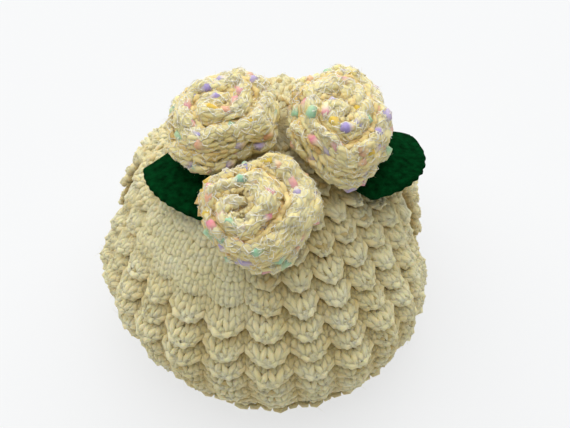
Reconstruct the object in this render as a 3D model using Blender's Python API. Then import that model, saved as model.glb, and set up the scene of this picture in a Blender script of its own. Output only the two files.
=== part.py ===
"""Knitted tea cosy: two pleated panels sewn together round a spout slot and a handle slot,
with three rolled flowers and two felt leaves sewn on the crown.

The frame has +Z up and its origin on the table, under the middle of the cosy. The handle slot
faces +X, the spout slot faces -X, and the front panel faces -Y. Sizes are in metres.
"""

import math
import random

import bmesh
import bpy
from mathutils import Matrix, Vector

MM = 0.001

# The meridian of the cosy over the crests of its pleats, from the hem to the crown.
MERIDIAN = [
    # height, radius
    (0.0 * MM, 77.0 * MM),
    (25.0 * MM, 87.0 * MM),
    (51.0 * MM, 90.0 * MM),
    (71.0 * MM, 82.0 * MM),
    (89.5 * MM, 69.5 * MM),
    (104.0 * MM, 58.5 * MM),
    (117.0 * MM, 43.0 * MM),
    (125.5 * MM, 24.0 * MM),
    (128.5 * MM, 4.0 * MM),
]
MERIDIAN_STEPS = 24

# The side towards the handle is a little flatter than the rest, and sinks in beside its slot.
HANDLE_SIDE_FLATTER = 0.058
ROUND_AGAIN_HEIGHTS = (98.0 * MM, 117.0 * MM)
HANDLE_SINK = 8.0 * MM
HANDLE_SINK_HEIGHTS = (14.0 * MM, 98.0 * MM)
HANDLE_SINK_REACH = 36.0 * MM

# From the crown's axis to the middle of the whole cosy, where the origin is.
MIDDLE = Vector((3.7 * MM, -0.3 * MM, 0.0))

# The cosy is turned a little on itself from this height down to the hem.
TWIST_BELOW = 92.0 * MM
TWIST_AT_HEM = math.radians(4.5)

# The pleats: 13 to a panel, each crossed by a purl ridge at every tier.
PLEATS = 13
TIERS = 15
PLEAT_SPAN = [
    # place across the pleat, share of its full bulge
    (0.0, 0.0),
    (0.25, 0.80),
    (0.5, 1.0),
    (0.75, 0.80),
]
TIER_SPAN = [
    # place up the tier, share of its full bulge
    (0.0, 0.50),
    (0.26, 1.0),
    (0.66, 0.82),
]
PLEAT_DEPTH = [
    # share of the meridian, depth from crest to gutter
    (0.0, 5.5 * MM),
    (0.35, 7.0 * MM),
    (0.7, 6.0 * MM),
    (1.0, 2.5 * MM),
]
FRONT_PLEATS_PULLED = 0.22
RIDGE_DROOP = 3.6 * MM
WALL_AT_GUTTER = 3.0 * MM
WALL_AT_CREST = 1.0 * MM
SEAM_GAP = 0.3 * MM

# The front panel's upper tiers are smoother, towards the spout side.
SMOOTH_SHARE = 0.65
SMOOTH_TIERS = (0.50, 0.66)
SMOOTH_ANGLES = (math.radians(82.0), math.radians(104.0))

# The slots between the panels, each a pointed opening that the cloth draws back from.
SLOTS = {
    # side, lowest height, highest height, half width
    "spout": (-1.0, 28.0 * MM, 92.0 * MM, 19.0 * MM),
    "handle": (1.0, 22.0 * MM, 90.0 * MM, 14.0 * MM),
}
SLOT_BLUNTNESS = 0.6
SLOT_EASE = 68.0 * MM

# The flowers: rolled strips, sewn on by a foot in the middle.
FLOWERS = {
    # plan x, plan y, lean in degrees, lean direction in degrees, radius along x, along y, height,
    # share by which the outer petal is longer at its corner
    "flower_left": (-15.5 * MM, -10.5 * MM, 8.0, -142.0, 25.5 * MM, 25.5 * MM, 25.0 * MM, 0.0),
    "flower_right": (27.5 * MM, -6.5 * MM, 13.0, -10.0, 25.0 * MM, 29.0 * MM, 27.0 * MM, 0.17),
    "flower_front": (1.5 * MM, -41.0 * MM, 22.0, -88.0, 24.0 * MM, 25.5 * MM, 24.0 * MM, 0.0),
}
FLOWER_CORNER = math.radians(52.0)
FLOWER_CORNER_SHARPNESS = 5
FLOWER_SIDES = 36
FLOWER_RINGS = 11
FLOWER_TURNS = 2.4
PETAL_DEPTH = 2.8 * MM
PETAL_RUFFLE = 1.2 * MM
RIM_SHARE = 0.30
UNDER_SHARES = (0.97, 0.84, 0.70)
FOOT_SHARES = (1.3, 1.0)
FOOT_RADIUS = 10.0 * MM
FOOT_GAP = 0.4 * MM
PETAL_GAP = 3.2 * MM
FLOWER_GAP = 0.3 * MM
BORDER_HEIGHTS = (2.0 * MM, 12.0 * MM)
LEAST_PETAL = 4.5 * MM
PETAL_DROOP = 0.8

# The leaves: cut felt, root under a flower and tip clear of the knitting.
LEAVES = {
    # root x, root y, tip x, tip y, tip height, width, share that the blunt tip lacks
    "leaf_left": (-19.5 * MM, -41.4 * MM, -48.2 * MM, -16.6 * MM, 115.6 * MM, 26.9 * MM, 0.12),
    "leaf_right": (38.7 * MM, -24.5 * MM, 63.2 * MM, 13.5 * MM, 109.5 * MM, 36.0 * MM, 0.0),
}
FELT = 2.0 * MM
LEAF_GAP = 0.5 * MM
LEAF_ARCH = 3.5 * MM
LEAF_MARGIN = 4.0 * MM
LEAF_ROOT_CUT = 0.12
LEAF_LONG_STEPS = 12
LEAF_WIDE_STEPS = 6

CREAM = (0.80, 0.74, 0.56, 1.0)
FLECKED_WHITE = (0.86, 0.82, 0.68, 1.0)
LEAF_GREEN = (0.005, 0.11, 0.03, 1.0)


def clear_scene():
    """Empties the scene, so that the script can be run again."""
    for old in list(bpy.data.objects):
        bpy.data.objects.remove(old)


def material(name, colour, roughness):
    """A cloth finish."""
    made = bpy.data.materials.new(name)
    made.use_nodes = True
    shader = made.node_tree.nodes["Principled BSDF"]
    shader.inputs["Base Color"].default_value = colour
    shader.inputs["Roughness"].default_value = roughness
    shader.inputs["Metallic"].default_value = 0.0
    return made


def between(table, at):
    """Reads a two-column table at a place between its rows, easing from row to row."""
    for (low, first), (high, second) in zip(table, table[1:]):
        if at <= high:
            share = max(0.0, (at - low) / (high - low))
            share = share * share * (3 - 2 * share)
            return first + (second - first) * share
    return table[-1][1]


def eased(low, high, at):
    """0 below low, 1 above high, and a smooth rise between them."""
    share = min(max((at - low) / (high - low), 0.0), 1.0)
    return share * share * (3 - 2 * share)


class Meridian:
    """The crest line of the cosy, measured along its own length from the hem."""

    def __init__(self):
        self.points = self.smooth_line()
        self.lengths = [0.0]
        for (z0, r0), (z1, r1) in zip(self.points, self.points[1:]):
            self.lengths.append(self.lengths[-1] + math.hypot(z1 - z0, r1 - r0))
        self.length = self.lengths[-1]

    def smooth_line(self):
        """A Catmull-Rom curve through the table."""
        rows = [MERIDIAN[0], *MERIDIAN, MERIDIAN[-1]]
        line = []
        for a, b, c, d in zip(rows, rows[1:], rows[2:], rows[3:]):
            for step in range(MERIDIAN_STEPS):
                t = step / MERIDIAN_STEPS
                line.append(tuple(
                    b[k] + 0.5 * t * (c[k] - a[k] + t * (2 * a[k] - 5 * b[k] + 4 * c[k] - d[k]
                    + t * (3 * (b[k] - c[k]) + d[k] - a[k])))
                    for k in range(2)
                ))
        line.append(MERIDIAN[-1])
        return line

    def at(self, s):
        """Height, radius and outward normal (radial, upward) at length s from the hem."""
        s = min(max(s, 0.0), self.length)
        i = 1
        while self.lengths[i] < s and i < len(self.lengths) - 1:
            i += 1
        (z0, r0), (z1, r1) = self.points[i - 1], self.points[i]
        span = self.lengths[i] - self.lengths[i - 1]
        share = (s - self.lengths[i - 1]) / span
        return (
            z0 + (z1 - z0) * share,
            r0 + (r1 - r0) * share,
            ((z1 - z0) / span, (r0 - r1) / span),
        )

    def height_over(self, radius):
        """Height of the crest line over a radius of the upper half."""
        for (z0, r0), (z1, r1) in zip(self.points[::-1], self.points[-2::-1]):
            if r0 <= radius <= r1:
                return z0 + (z1 - z0) * (radius - r0) / max(r1 - r0, 1e-9)
        return MERIDIAN[-1][0]


def slot_half_width(side, height):
    """How far a panel's edge draws back from the seam, at a height, on one side."""
    for slot_side, low, high, half in SLOTS.values():
        if slot_side == side and low < height < high:
            return half * math.sin(math.pi * (height - low) / (high - low)) ** SLOT_BLUNTNESS
    return 0.0


def place_on_panel(angle, height, radius, facing):
    """The point of a panel at an angle from the handle side, drawn back from the slots."""
    away = radius * math.sin(angle)
    side = 1.0 if math.cos(angle) >= 0 else -1.0
    drawn = away + slot_half_width(side, height) * max(0.0, 1.0 - away / SLOT_EASE) ** 2
    if drawn < radius:
        away = drawn
    x = side * math.sqrt(max(0.0, radius * radius - away * away))
    if x > 0:
        flatter = HANDLE_SIDE_FLATTER * (1 - eased(*ROUND_AGAIN_HEIGHTS, height))
        x *= 1 - flatter * (x / radius) ** 4
        low, high = HANDLE_SINK_HEIGHTS
        share = min(max((height - low) / (high - low), 0.0), 1.0)
        sink = HANDLE_SINK * math.sin(math.pi * share) ** 2
        x -= sink * math.exp(-(away / HANDLE_SINK_REACH) ** 2) * (x / radius)
    point = Vector((x, facing * (away + SEAM_GAP / 2), height))
    turn = TWIST_AT_HEM * max(0.0, 1 - height / TWIST_BELOW)
    return Matrix.Rotation(turn, 3, "Z") @ point


def pleat_depth(meridian, facing, angle, s):
    """Depth of the gutters between pleats."""
    depth = between(PLEAT_DEPTH, s / meridian.length)
    if facing < 0:
        smooth = eased(*SMOOTH_TIERS, s / meridian.length) * eased(*SMOOTH_ANGLES, angle)
        depth *= 1 - SMOOTH_SHARE * smooth
    return depth


def outer_grid(meridian, facing, chance):
    """Rows of points over the outside of a panel, with its pleats and ridges."""
    pitch = meridian.length / TIERS
    pull = FRONT_PLEATS_PULLED if facing < 0 else 0.0
    gutters = [
        math.pi / PLEATS * (i + chance.uniform(-0.07, 0.07) - pull * math.sin(math.pi * i / PLEATS))
        for i in range(PLEATS + 1)
    ]
    gutters[0], gutters[-1] = 0.0, math.pi
    bulge = [[chance.uniform(0.88, 1.06) for _ in range(TIERS + 1)] for _ in range(PLEATS)]
    lift = [[chance.uniform(-0.8, 0.8) * MM for _ in range(TIERS + 1)] for _ in range(PLEATS)]
    columns = [(i, t, share) for i in range(PLEATS) for t, share in PLEAT_SPAN]
    columns.append((PLEATS - 1, 1.0, 0.0))
    rows = [(k, u, share) for k in range(TIERS) for u, share in TIER_SPAN]
    rows.append((TIERS, 0.0, 0.8))
    grid = []
    for k, u, ridge in rows:
        line = []
        nominal = (k + u) * pitch
        hem_fade = min(1.0, nominal / pitch)
        crown_fade = min(1.0, (meridian.length - nominal) / pitch)
        for i, t, across in columns:
            crest = math.sin(math.pi * t)
            s = nominal - (RIDGE_DROOP * crest - lift[i][k] * crest) * hem_fade * crown_fade
            height, radius, normal = meridian.at(s)
            share = across * (0.85 if nominal == 0 else ridge) * bulge[i][k]
            angle = gutters[i] + (gutters[i + 1] - gutters[i]) * t
            depth = pleat_depth(meridian, facing, angle, s) * (1.0 - min(1.0, share))
            if nominal == 0:
                height, normal = 0.0, (1.0, 0.0)
            line.append(place_on_panel(
                angle, height - normal[1] * depth, radius - normal[0] * depth, facing))
        grid.append(line)
    return grid, gutters


def inner_grid(meridian, facing, gutters):
    """Rows of points over the inside of a panel: gutters and pleat middles only."""
    pitch = meridian.length / TIERS
    columns = []
    for i in range(PLEATS):
        columns.append((gutters[i], WALL_AT_GUTTER))
        columns.append(((gutters[i] + gutters[i + 1]) / 2, WALL_AT_CREST))
    columns.append((gutters[-1], WALL_AT_GUTTER))
    grid = []
    for k in range(TIERS + 1):
        line = []
        height, radius, normal = meridian.at(k * pitch)
        if k == 0:
            height, normal = 0.0, (1.0, 0.0)
        for angle, wall in columns:
            depth = pleat_depth(meridian, facing, angle, k * pitch) + wall
            line.append(place_on_panel(
                angle, height - normal[1] * depth, radius - normal[0] * depth, facing))
        grid.append(line)
    return grid


def add_grid(mesh, grid):
    """Adds a grid of points with its faces, and returns the grid of vertices."""
    verts = [[mesh.verts.new(point) for point in line] for line in grid]
    for low, high in zip(verts, verts[1:]):
        for j in range(len(low) - 1):
            mesh.faces.new((low[j], low[j + 1], high[j + 1], high[j]))
    return verts


def lace_edges(mesh, fine, coarse):
    """Closes the wall between a fine edge and a coarse one that has a whole share of its points."""
    ratio = (len(fine) - 1) // (len(coarse) - 1)
    for i in range(len(coarse) - 1):
        first = i * ratio
        middle = first + (ratio + 1) // 2
        for j in range(first, middle):
            mesh.faces.new((fine[j], fine[j + 1], coarse[i]))
        mesh.faces.new((fine[middle], coarse[i + 1], coarse[i]))
        for j in range(middle, first + ratio):
            mesh.faces.new((fine[j], fine[j + 1], coarse[i + 1]))


def object_from(mesh, name, finish):
    """Turns a bmesh into a named object with its finish."""
    bmesh.ops.translate(mesh, verts=mesh.verts, vec=MIDDLE)
    bmesh.ops.recalc_face_normals(mesh, faces=mesh.faces)
    data = bpy.data.meshes.new(name)
    mesh.to_mesh(data)
    mesh.free()
    data.materials.append(finish)
    data.shade_smooth()
    made = bpy.data.objects.new(name, data)
    bpy.context.scene.collection.objects.link(made)
    return made


def panel(meridian, name, facing, seed, finish):
    """One pleated half of the cosy, from the hem to the gathered crown."""
    chance = random.Random(seed)
    outer, gutters = outer_grid(meridian, facing, chance)
    inner = inner_grid(meridian, facing, gutters)
    mesh = bmesh.new()
    out = add_grid(mesh, outer)
    back = add_grid(mesh, inner)
    lace_edges(mesh, out[0], back[0])
    lace_edges(mesh, out[-1], back[-1])
    lace_edges(mesh, [row[0] for row in out], [row[0] for row in back])
    lace_edges(mesh, [row[-1] for row in out], [row[-1] for row in back])
    return object_from(mesh, name, finish)


class Leaf:
    """A felt leaf as a height over the plan, so that petals can be kept clear of it."""

    def __init__(self, meridian, root_x, root_y, tip_x, tip_y, tip_height, width, tip_cut):
        self.meridian = meridian
        self.width = width
        self.tip_cut = tip_cut
        root_height = meridian.height_over(math.hypot(root_x, root_y)) + LEAF_GAP
        self.root = Vector((root_x, root_y, root_height))
        self.tip = Vector((tip_x, tip_y, tip_height))
        along = self.tip - self.root
        self.plan_length = math.hypot(along.x, along.y)
        self.along = Vector((along.x, along.y, 0)) / self.plan_length
        self.side = Vector((-self.along.y, self.along.x, 0))

    def half_width(self, share):
        """Half the leaf's width at a share of its length: full in the middle, a blunt tip."""
        share = min(max(share, 0.0), 1.0)
        share = LEAF_ROOT_CUT + (1 - LEAF_ROOT_CUT - self.tip_cut) * share
        return self.width / 2 * math.sin(math.pi * share ** 1.05) ** 0.62

    def height(self, x, y):
        """Height of the leaf's underside over the plan."""
        share = Vector((x - self.root.x, y - self.root.y, 0)).dot(self.along) / self.plan_length
        arch = 4 * share * (1 - share) * LEAF_ARCH
        straight = self.root.z + (self.tip.z - self.root.z) * share + arch
        knit = self.meridian.height_over(math.hypot(x, y)) + LEAF_GAP
        return max(straight, knit)

    def covers(self, x, y, margin):
        """Whether the leaf, grown by a margin, lies over a place of the plan."""
        offset = Vector((x - self.root.x, y - self.root.y, 0))
        share = offset.dot(self.along) / self.plan_length
        spare = margin / self.plan_length
        if not -spare <= share <= 1 + spare:
            return False
        return abs(offset.dot(self.side)) <= self.half_width(share) + margin

    def build(self, name, finish):
        """The leaf's solid."""
        mesh = bmesh.new()
        sides = []
        for lift in (0.0, FELT):
            grid = []
            for i in range(LEAF_LONG_STEPS + 1):
                share = i / LEAF_LONG_STEPS
                line = []
                for j in range(LEAF_WIDE_STEPS + 1):
                    across = 2 * j / LEAF_WIDE_STEPS - 1
                    reach = max(self.half_width(share), 0.8 * MM)
                    spot = self.root + self.along * self.plan_length * share
                    spot = spot + self.side * reach * across
                    spot.z = self.height(spot.x, spot.y) + lift
                    line.append(spot)
                grid.append(line)
            sides.append(add_grid(mesh, grid))
        low, high = sides
        for a, b in (
            (low[0], high[0]),
            (low[-1], high[-1]),
            ([row[0] for row in low], [row[0] for row in high]),
            ([row[-1] for row in low], [row[-1] for row in high]),
        ):
            for j in range(len(a) - 1):
                mesh.faces.new((a[j], a[j + 1], b[j + 1], b[j]))
        return object_from(mesh, name, finish)


class Flower:
    """A rolled flower on the crown, with a spiral of petals round its own leaning axis."""

    def __init__(self, meridian, leaves, x, y, lean, towards, reach_x, reach_y, height, longer):
        self.meridian = meridian
        self.leaves = leaves
        self.reach_x = reach_x
        self.reach_y = reach_y
        self.height = height
        self.longer = longer
        lean, towards = math.radians(lean), math.radians(towards)
        self.axis = Vector((
            math.sin(lean) * math.cos(towards), math.sin(lean) * math.sin(towards), math.cos(lean)))
        self.foot = Vector((x, y, meridian.height_over(math.hypot(x, y))))
        self.right = Vector((0, 1, 0)).cross(self.axis).normalized()
        self.up = self.axis.cross(self.right)
        self.others = []

    def middle(self):
        """The middle of the flower's body, for sharing the room between flowers."""
        return self.foot + self.axis * self.height * 0.5

    def place(self, angle, distance, height):
        """A point of the flower's own round frame."""
        spoke = self.right * math.cos(angle) + self.up * math.sin(angle)
        return self.foot + spoke * distance + self.axis * height

    def outline(self, angle):
        """Reach of the outer petals at an angle, kept off the neighbouring flowers."""
        reach = 1 / math.hypot(math.cos(angle) / self.reach_x, math.sin(angle) / self.reach_y)
        reach *= 1 + 0.04 * math.sin(3 * angle + self.foot.x * 90) + 0.03 * math.sin(5 * angle + 1.3)
        corner = max(0.0, math.cos(angle - FLOWER_CORNER))
        reach *= 1 + self.longer * corner ** FLOWER_CORNER_SHARPNESS
        for other in self.others:
            apart = (other.middle() - self.middle()).normalized()
            share = self.reach_x / (self.reach_x + other.reach_x)
            border = self.middle().lerp(other.middle(), share)
            for height in BORDER_HEIGHTS:
                start = (border - self.place(angle, 0, height)).dot(apart) - FLOWER_GAP
                spoke = (self.place(angle, 1, height) - self.place(angle, 0, height)).dot(apart)
                if spoke > 1e-6:
                    reach = min(reach, start / spoke)
        return reach

    def clear_of_all(self, point, knit_gap):
        """Whether a point lies clear above the knitting and the leaves."""
        radius = math.hypot(point.x, point.y)
        if point.z < self.meridian.height_over(radius) + knit_gap:
            return False
        return not any(
            leaf.covers(point.x, point.y, LEAF_MARGIN)
            and point.z < leaf.height(point.x, point.y) + FELT + 2 * LEAF_GAP
            for leaf in self.leaves
        )

    def underside(self, angle, distance):
        """Lowest height along the axis that is clear of what lies under the flower."""
        gap = FOOT_GAP if distance <= FOOT_RADIUS else PETAL_GAP
        height = -22 * MM
        while height < self.height and not self.clear_of_all(
            self.place(angle, distance, height), gap
        ):
            height += 0.25 * MM
        return height

    def petal_height(self, angle, share):
        """Height of the rolled top, with its spiral of petal edges."""
        round_over = math.sqrt(max(0.0, 1 - share ** 2.2))
        dome = self.height * (RIM_SHARE + (1 - RIM_SHARE) * round_over)
        turn = math.cos(2 * math.pi * FLOWER_TURNS * share - angle)
        fade = min(1.0, share * 3)
        ruffle = PETAL_RUFFLE * math.sin(4 * angle + 7 * share)
        return dome - PETAL_DEPTH + PETAL_DEPTH * turn * fade + ruffle * share

    def build(self, name, finish):
        """The flower's solid: rolled top, rim and underside down to its foot."""
        mesh = bmesh.new()
        angles = [2 * math.pi * i / FLOWER_SIDES for i in range(FLOWER_SIDES)]
        reaches = [self.outline(angle) for angle in angles]
        unders = [self.underside(a, r * UNDER_SHARES[0]) for a, r in zip(angles, reaches)]
        rings = []
        for ring in range(1, FLOWER_RINGS + 1):
            share = ring / FLOWER_RINGS
            line = []
            for angle, reach, under in zip(angles, reaches, unders):
                droop = PETAL_DROOP * min(under, 0.0) * share ** 3
                height = max(self.petal_height(angle, share) + droop, under + LEAST_PETAL)
                line.append(mesh.verts.new(self.place(angle, reach * share, height)))
            rings.append(line)
        lower = [[reach * share for reach in reaches] for share in UNDER_SHARES]
        lower += [[FOOT_RADIUS * share] * FLOWER_SIDES for share in FOOT_SHARES]
        for distances in lower:
            rings.append([
                mesh.verts.new(self.place(angle, distance, self.underside(angle, distance)))
                for angle, distance in zip(angles, distances)
            ])
        top = mesh.verts.new(self.place(0, 0, self.petal_height(0, 0)))
        bottom = mesh.verts.new(self.place(0, 0, self.underside(0, 0)))
        for i in range(FLOWER_SIDES):
            j = (i + 1) % FLOWER_SIDES
            mesh.faces.new((top, rings[0][i], rings[0][j]))
            mesh.faces.new((bottom, rings[-1][j], rings[-1][i]))
            for a, b in zip(rings, rings[1:]):
                mesh.faces.new((a[i], b[i], b[j], a[j]))
        return object_from(mesh, name, finish)


def main():
    """Builds the cosy's panels, leaves and flowers."""
    clear_scene()
    knit = material("cream_knit", CREAM, 0.9)
    flecked = material("flecked_yarn", FLECKED_WHITE, 0.7)
    felt = material("green_felt", LEAF_GREEN, 0.95)
    meridian = Meridian()
    panel(meridian, "front_panel", -1.0, 11, knit)
    panel(meridian, "back_panel", 1.0, 23, knit)
    leaves = {name: Leaf(meridian, *row) for name, row in LEAVES.items()}
    for name, leaf in leaves.items():
        leaf.build(name, felt)
    flowers = {
        name: Flower(meridian, list(leaves.values()), *row) for name, row in FLOWERS.items()
    }
    for name, flower in flowers.items():
        flower.others = [other for other in flowers.values() if other is not flower]
        flower.build(name, flecked)


main()
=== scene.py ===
"""Looks of the knitted tea cosy: every stitch of its pleated panels as yarn, its rolled flowers
of flecked yarn and its felt leaves.

Lengths are in metres, in the frame of the solids: +Z up, the origin on the table under the
middle of the cosy, the handle slot towards +X and the front panel towards -Y. The panels,
flowers and leaves are worked out round the crown's own axis and moved by MIDDLE at the end.
"""

import logging
import math
import random
from dataclasses import dataclass, field
from enum import Enum
from typing import Iterable, Sequence

import bmesh
import bpy
import numpy as np
from mathutils import Matrix, Vector


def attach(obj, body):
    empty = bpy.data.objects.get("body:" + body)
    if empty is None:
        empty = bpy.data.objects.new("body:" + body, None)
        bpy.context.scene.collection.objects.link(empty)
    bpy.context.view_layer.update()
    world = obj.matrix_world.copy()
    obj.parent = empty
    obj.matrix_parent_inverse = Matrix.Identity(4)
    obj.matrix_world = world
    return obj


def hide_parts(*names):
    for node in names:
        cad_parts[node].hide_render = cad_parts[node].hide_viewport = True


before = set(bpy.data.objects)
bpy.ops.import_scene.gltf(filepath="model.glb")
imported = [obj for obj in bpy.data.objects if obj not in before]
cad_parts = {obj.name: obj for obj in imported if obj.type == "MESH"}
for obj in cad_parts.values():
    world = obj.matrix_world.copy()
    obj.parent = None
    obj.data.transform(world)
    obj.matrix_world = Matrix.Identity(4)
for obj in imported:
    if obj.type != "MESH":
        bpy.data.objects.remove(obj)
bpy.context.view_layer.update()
LOG = logging.getLogger("cosy")

MM = 0.001
MIDDLE = np.array((3.7 * MM, -0.3 * MM, 0.0))
TABLE_CLEARANCE = 0.15 * MM
TINY = 1e-12

Colour = tuple[float, float, float, float]


def eased(low: float, high: float, at: np.ndarray) -> np.ndarray:
    """A smooth rise from 0 to 1.

    Args:
        low: Where the rise starts.
        high: Where it ends.
        at: Places to read.

    Returns:
        The height of the rise at each place.
    """
    share = np.clip((at - low) / (high - low), 0.0, 1.0)
    return share * share * (3 - 2 * share)


def read_table(table: Sequence[tuple[float, float]], at: np.ndarray) -> np.ndarray:
    """Reads a two-column table, easing from row to row.

    Args:
        table: Rows of place and value.
        at: Places to read.

    Returns:
        The value at each place.
    """
    value = np.full(np.shape(at), table[0][1], float)
    for (low, first), (high, second) in zip(table, table[1:]):
        value = value + (second - first) * eased(low, high, at)
    return value


def smooth_line(rows: Sequence[tuple[float, float]], steps: int) -> np.ndarray:
    """A Catmull-Rom curve through points of a plane.

    Args:
        rows: The points.
        steps: How many short lines each span gets.

    Returns:
        The points of the curve, one to a row.
    """
    ends = np.array([rows[0], *rows, rows[-1]])
    t = (np.arange(steps) / steps)[:, None]
    spans = [
        b + 0.5 * t * (c - a + t * (2 * a - 5 * b + 4 * c - d + t * (3 * (b - c) + d - a)))
        for a, b, c, d in zip(ends, ends[1:], ends[2:], ends[3:])
    ]
    return np.vstack([*spans, ends[-1:]])


def lengths_along(line: np.ndarray) -> np.ndarray:
    """The length of a line of points up to each of them."""
    steps = np.linalg.norm(np.diff(line, axis=0), axis=1)
    return np.concatenate([[0.0], np.cumsum(steps)])


def unit(vectors: np.ndarray, least: float = TINY) -> np.ndarray:
    """Vectors brought to the length of 1, where they have the least length that gives a direction."""
    return vectors / np.maximum(np.linalg.norm(vectors, axis=-1, keepdims=True), least)


def softened(values: np.ndarray, width: int) -> np.ndarray:
    """A row of numbers with each one replaced by the mean of its neighbours.

    Args:
        values: The numbers.
        width: How many are averaged, an odd number.

    Returns:
        As many numbers, with their jumps rounded off.
    """
    padded = np.pad(values, width // 2, mode="edge")
    return np.convolve(padded, np.ones(width) / width, "valid")


def placed(name: str, data: bpy.types.ID) -> bpy.types.Object:
    """A new object at the origin of the scene, with a name and what it holds."""
    made = bpy.data.objects.new(name, data)
    bpy.context.scene.collection.objects.link(made)
    return made


def closed(data: bpy.types.Mesh, mesh: bmesh.types.BMesh, finish: bpy.types.Material) -> bpy.types.Object:
    """A smooth object of a closed mesh.

    Args:
        data: What takes the mesh and names the object.
        mesh: The mesh, which is used up.
        finish: Its material.

    Returns:
        The object, facing outwards.
    """
    bmesh.ops.recalc_face_normals(mesh, faces=mesh.faces)
    mesh.to_mesh(data)
    mesh.free()
    data.materials.append(finish)
    data.shade_smooth()
    return placed(data.name, data)


class Socket(Enum):
    """Kinds of input that a node tree takes."""

    SHAPE = "NodeSocketGeometry"
    LENGTH = "NodeSocketFloat"
    COUNT = "NodeSocketInt"
    FINISH = "NodeSocketMaterial"


class Boundary(Enum):
    """How one row of loops is drawn through the row under it."""

    KNIT = 1.0
    PURL = -1.35


class Facing(Enum):
    """Which half of the cosy a panel is."""

    FRONT = -1.0
    BACK = 1.0


# Finishes


class NodeBoard:
    """A short way of placing and joining the nodes of one finish or tree."""

    def __init__(self, tree: bpy.types.NodeTree) -> None:
        """Starts on a tree."""
        self.tree = tree

    def add(self, kind: str, **settings: object) -> bpy.types.Node:
        """Adds a node.

        Args:
            kind: The node's type.
            settings: Its properties.

        Returns:
            The node.
        """
        node = self.tree.nodes.new(kind)
        for name, value in settings.items():
            setattr(node, name, value)
        return node

    def feed(self, socket: bpy.types.NodeSocket, value: object) -> None:
        """Joins an output to an input, or sets the input to a value."""
        if isinstance(value, bpy.types.NodeSocket):
            self.tree.links.new(value, socket)
        else:
            socket.default_value = value

    def put(self, kind: str, feeds: dict[str | int, object], output: str | int = 0,
            **settings: object) -> bpy.types.NodeSocket:
        """Adds a node and feeds it.

        Args:
            kind: The node's type.
            feeds: Numbers, colours or outputs for its inputs, by name or number.
            output: Which of its outputs is wanted.
            settings: Its properties.

        Returns:
            The wanted output.
        """
        node = self.add(kind, **settings)
        for name, value in feeds.items():
            self.feed(node.inputs[name], value)
        return node.outputs[output]

    def math(self, operation: str, *values: object) -> bpy.types.NodeSocket:
        """A number worked out from others."""
        return self.put("ShaderNodeMath", dict(enumerate(values)), operation=operation)

    def noise(self, at: bpy.types.NodeSocket, scale: float, detail: float = 2.0) -> bpy.types.NodeSocket:
        """Soft noise with so many features to a metre and so many finer layers."""
        return self.put("ShaderNodeTexNoise", {"Vector": at, "Scale": scale, "Detail": detail}, "Fac")

    def blend(self, share: object, first: object, second: object) -> bpy.types.NodeSocket:
        """A mix of two colours, with the share of the second one."""
        return self.put("ShaderNodeMix", {0: share, 6: first, 7: second}, 2, data_type="RGBA")

    def span(self, value: object, low: float, high: float) -> bpy.types.NodeSocket:
        """A number stretched so that low becomes 0 and high becomes 1, and kept between them."""
        feeds = {"Value": value, "From Min": low, "From Max": high}
        return self.put("ShaderNodeMapRange", feeds, "Result", clamp=True)

    def attribute(self, name: str, output: str) -> bpy.types.NodeSocket:
        """What a piece's own attribute holds, read as Fac, Color or Vector."""
        return self.put("ShaderNodeAttribute", {}, output, attribute_name=name)

    def relief(self, shader: bpy.types.Node, height: object, strength: float = 1.0) -> None:
        """Feeds a shader's normal with a relief in metres."""
        feeds = {"Distance": 1.0, "Strength": strength, "Height": height}
        self.feed(shader.inputs["Normal"], self.put("ShaderNodeBump", feeds))


def fix(node: bpy.types.Node, **values: object) -> None:
    """Sets constants on a node's own sockets, named with underscores for spaces."""
    for name, value in values.items():
        node.inputs[name.replace("_", " ")].default_value = value


@dataclass(frozen=True)
class Finish:
    """A material of one Principled shader, with its colour and relief worked out by nodes."""

    name: str

    def build(self) -> bpy.types.Material:
        """Makes the material.

        Returns:
            The finished material.
        """
        made = bpy.data.materials.new(self.name)
        made.use_nodes = True
        board = NodeBoard(made.node_tree)
        place = board.add("ShaderNodeTexCoord").outputs["Object"]
        self.dress(board, made.node_tree.nodes["Principled BSDF"], place)
        return made

    def dress(self, board: NodeBoard, shader: bpy.types.Node, place: bpy.types.NodeSocket) -> None:
        """Feeds the shader.

        Args:
            board: The material's board.
            shader: Its shader.
            place: Coordinates in the piece's own frame.
        """
        raise NotImplementedError


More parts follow.
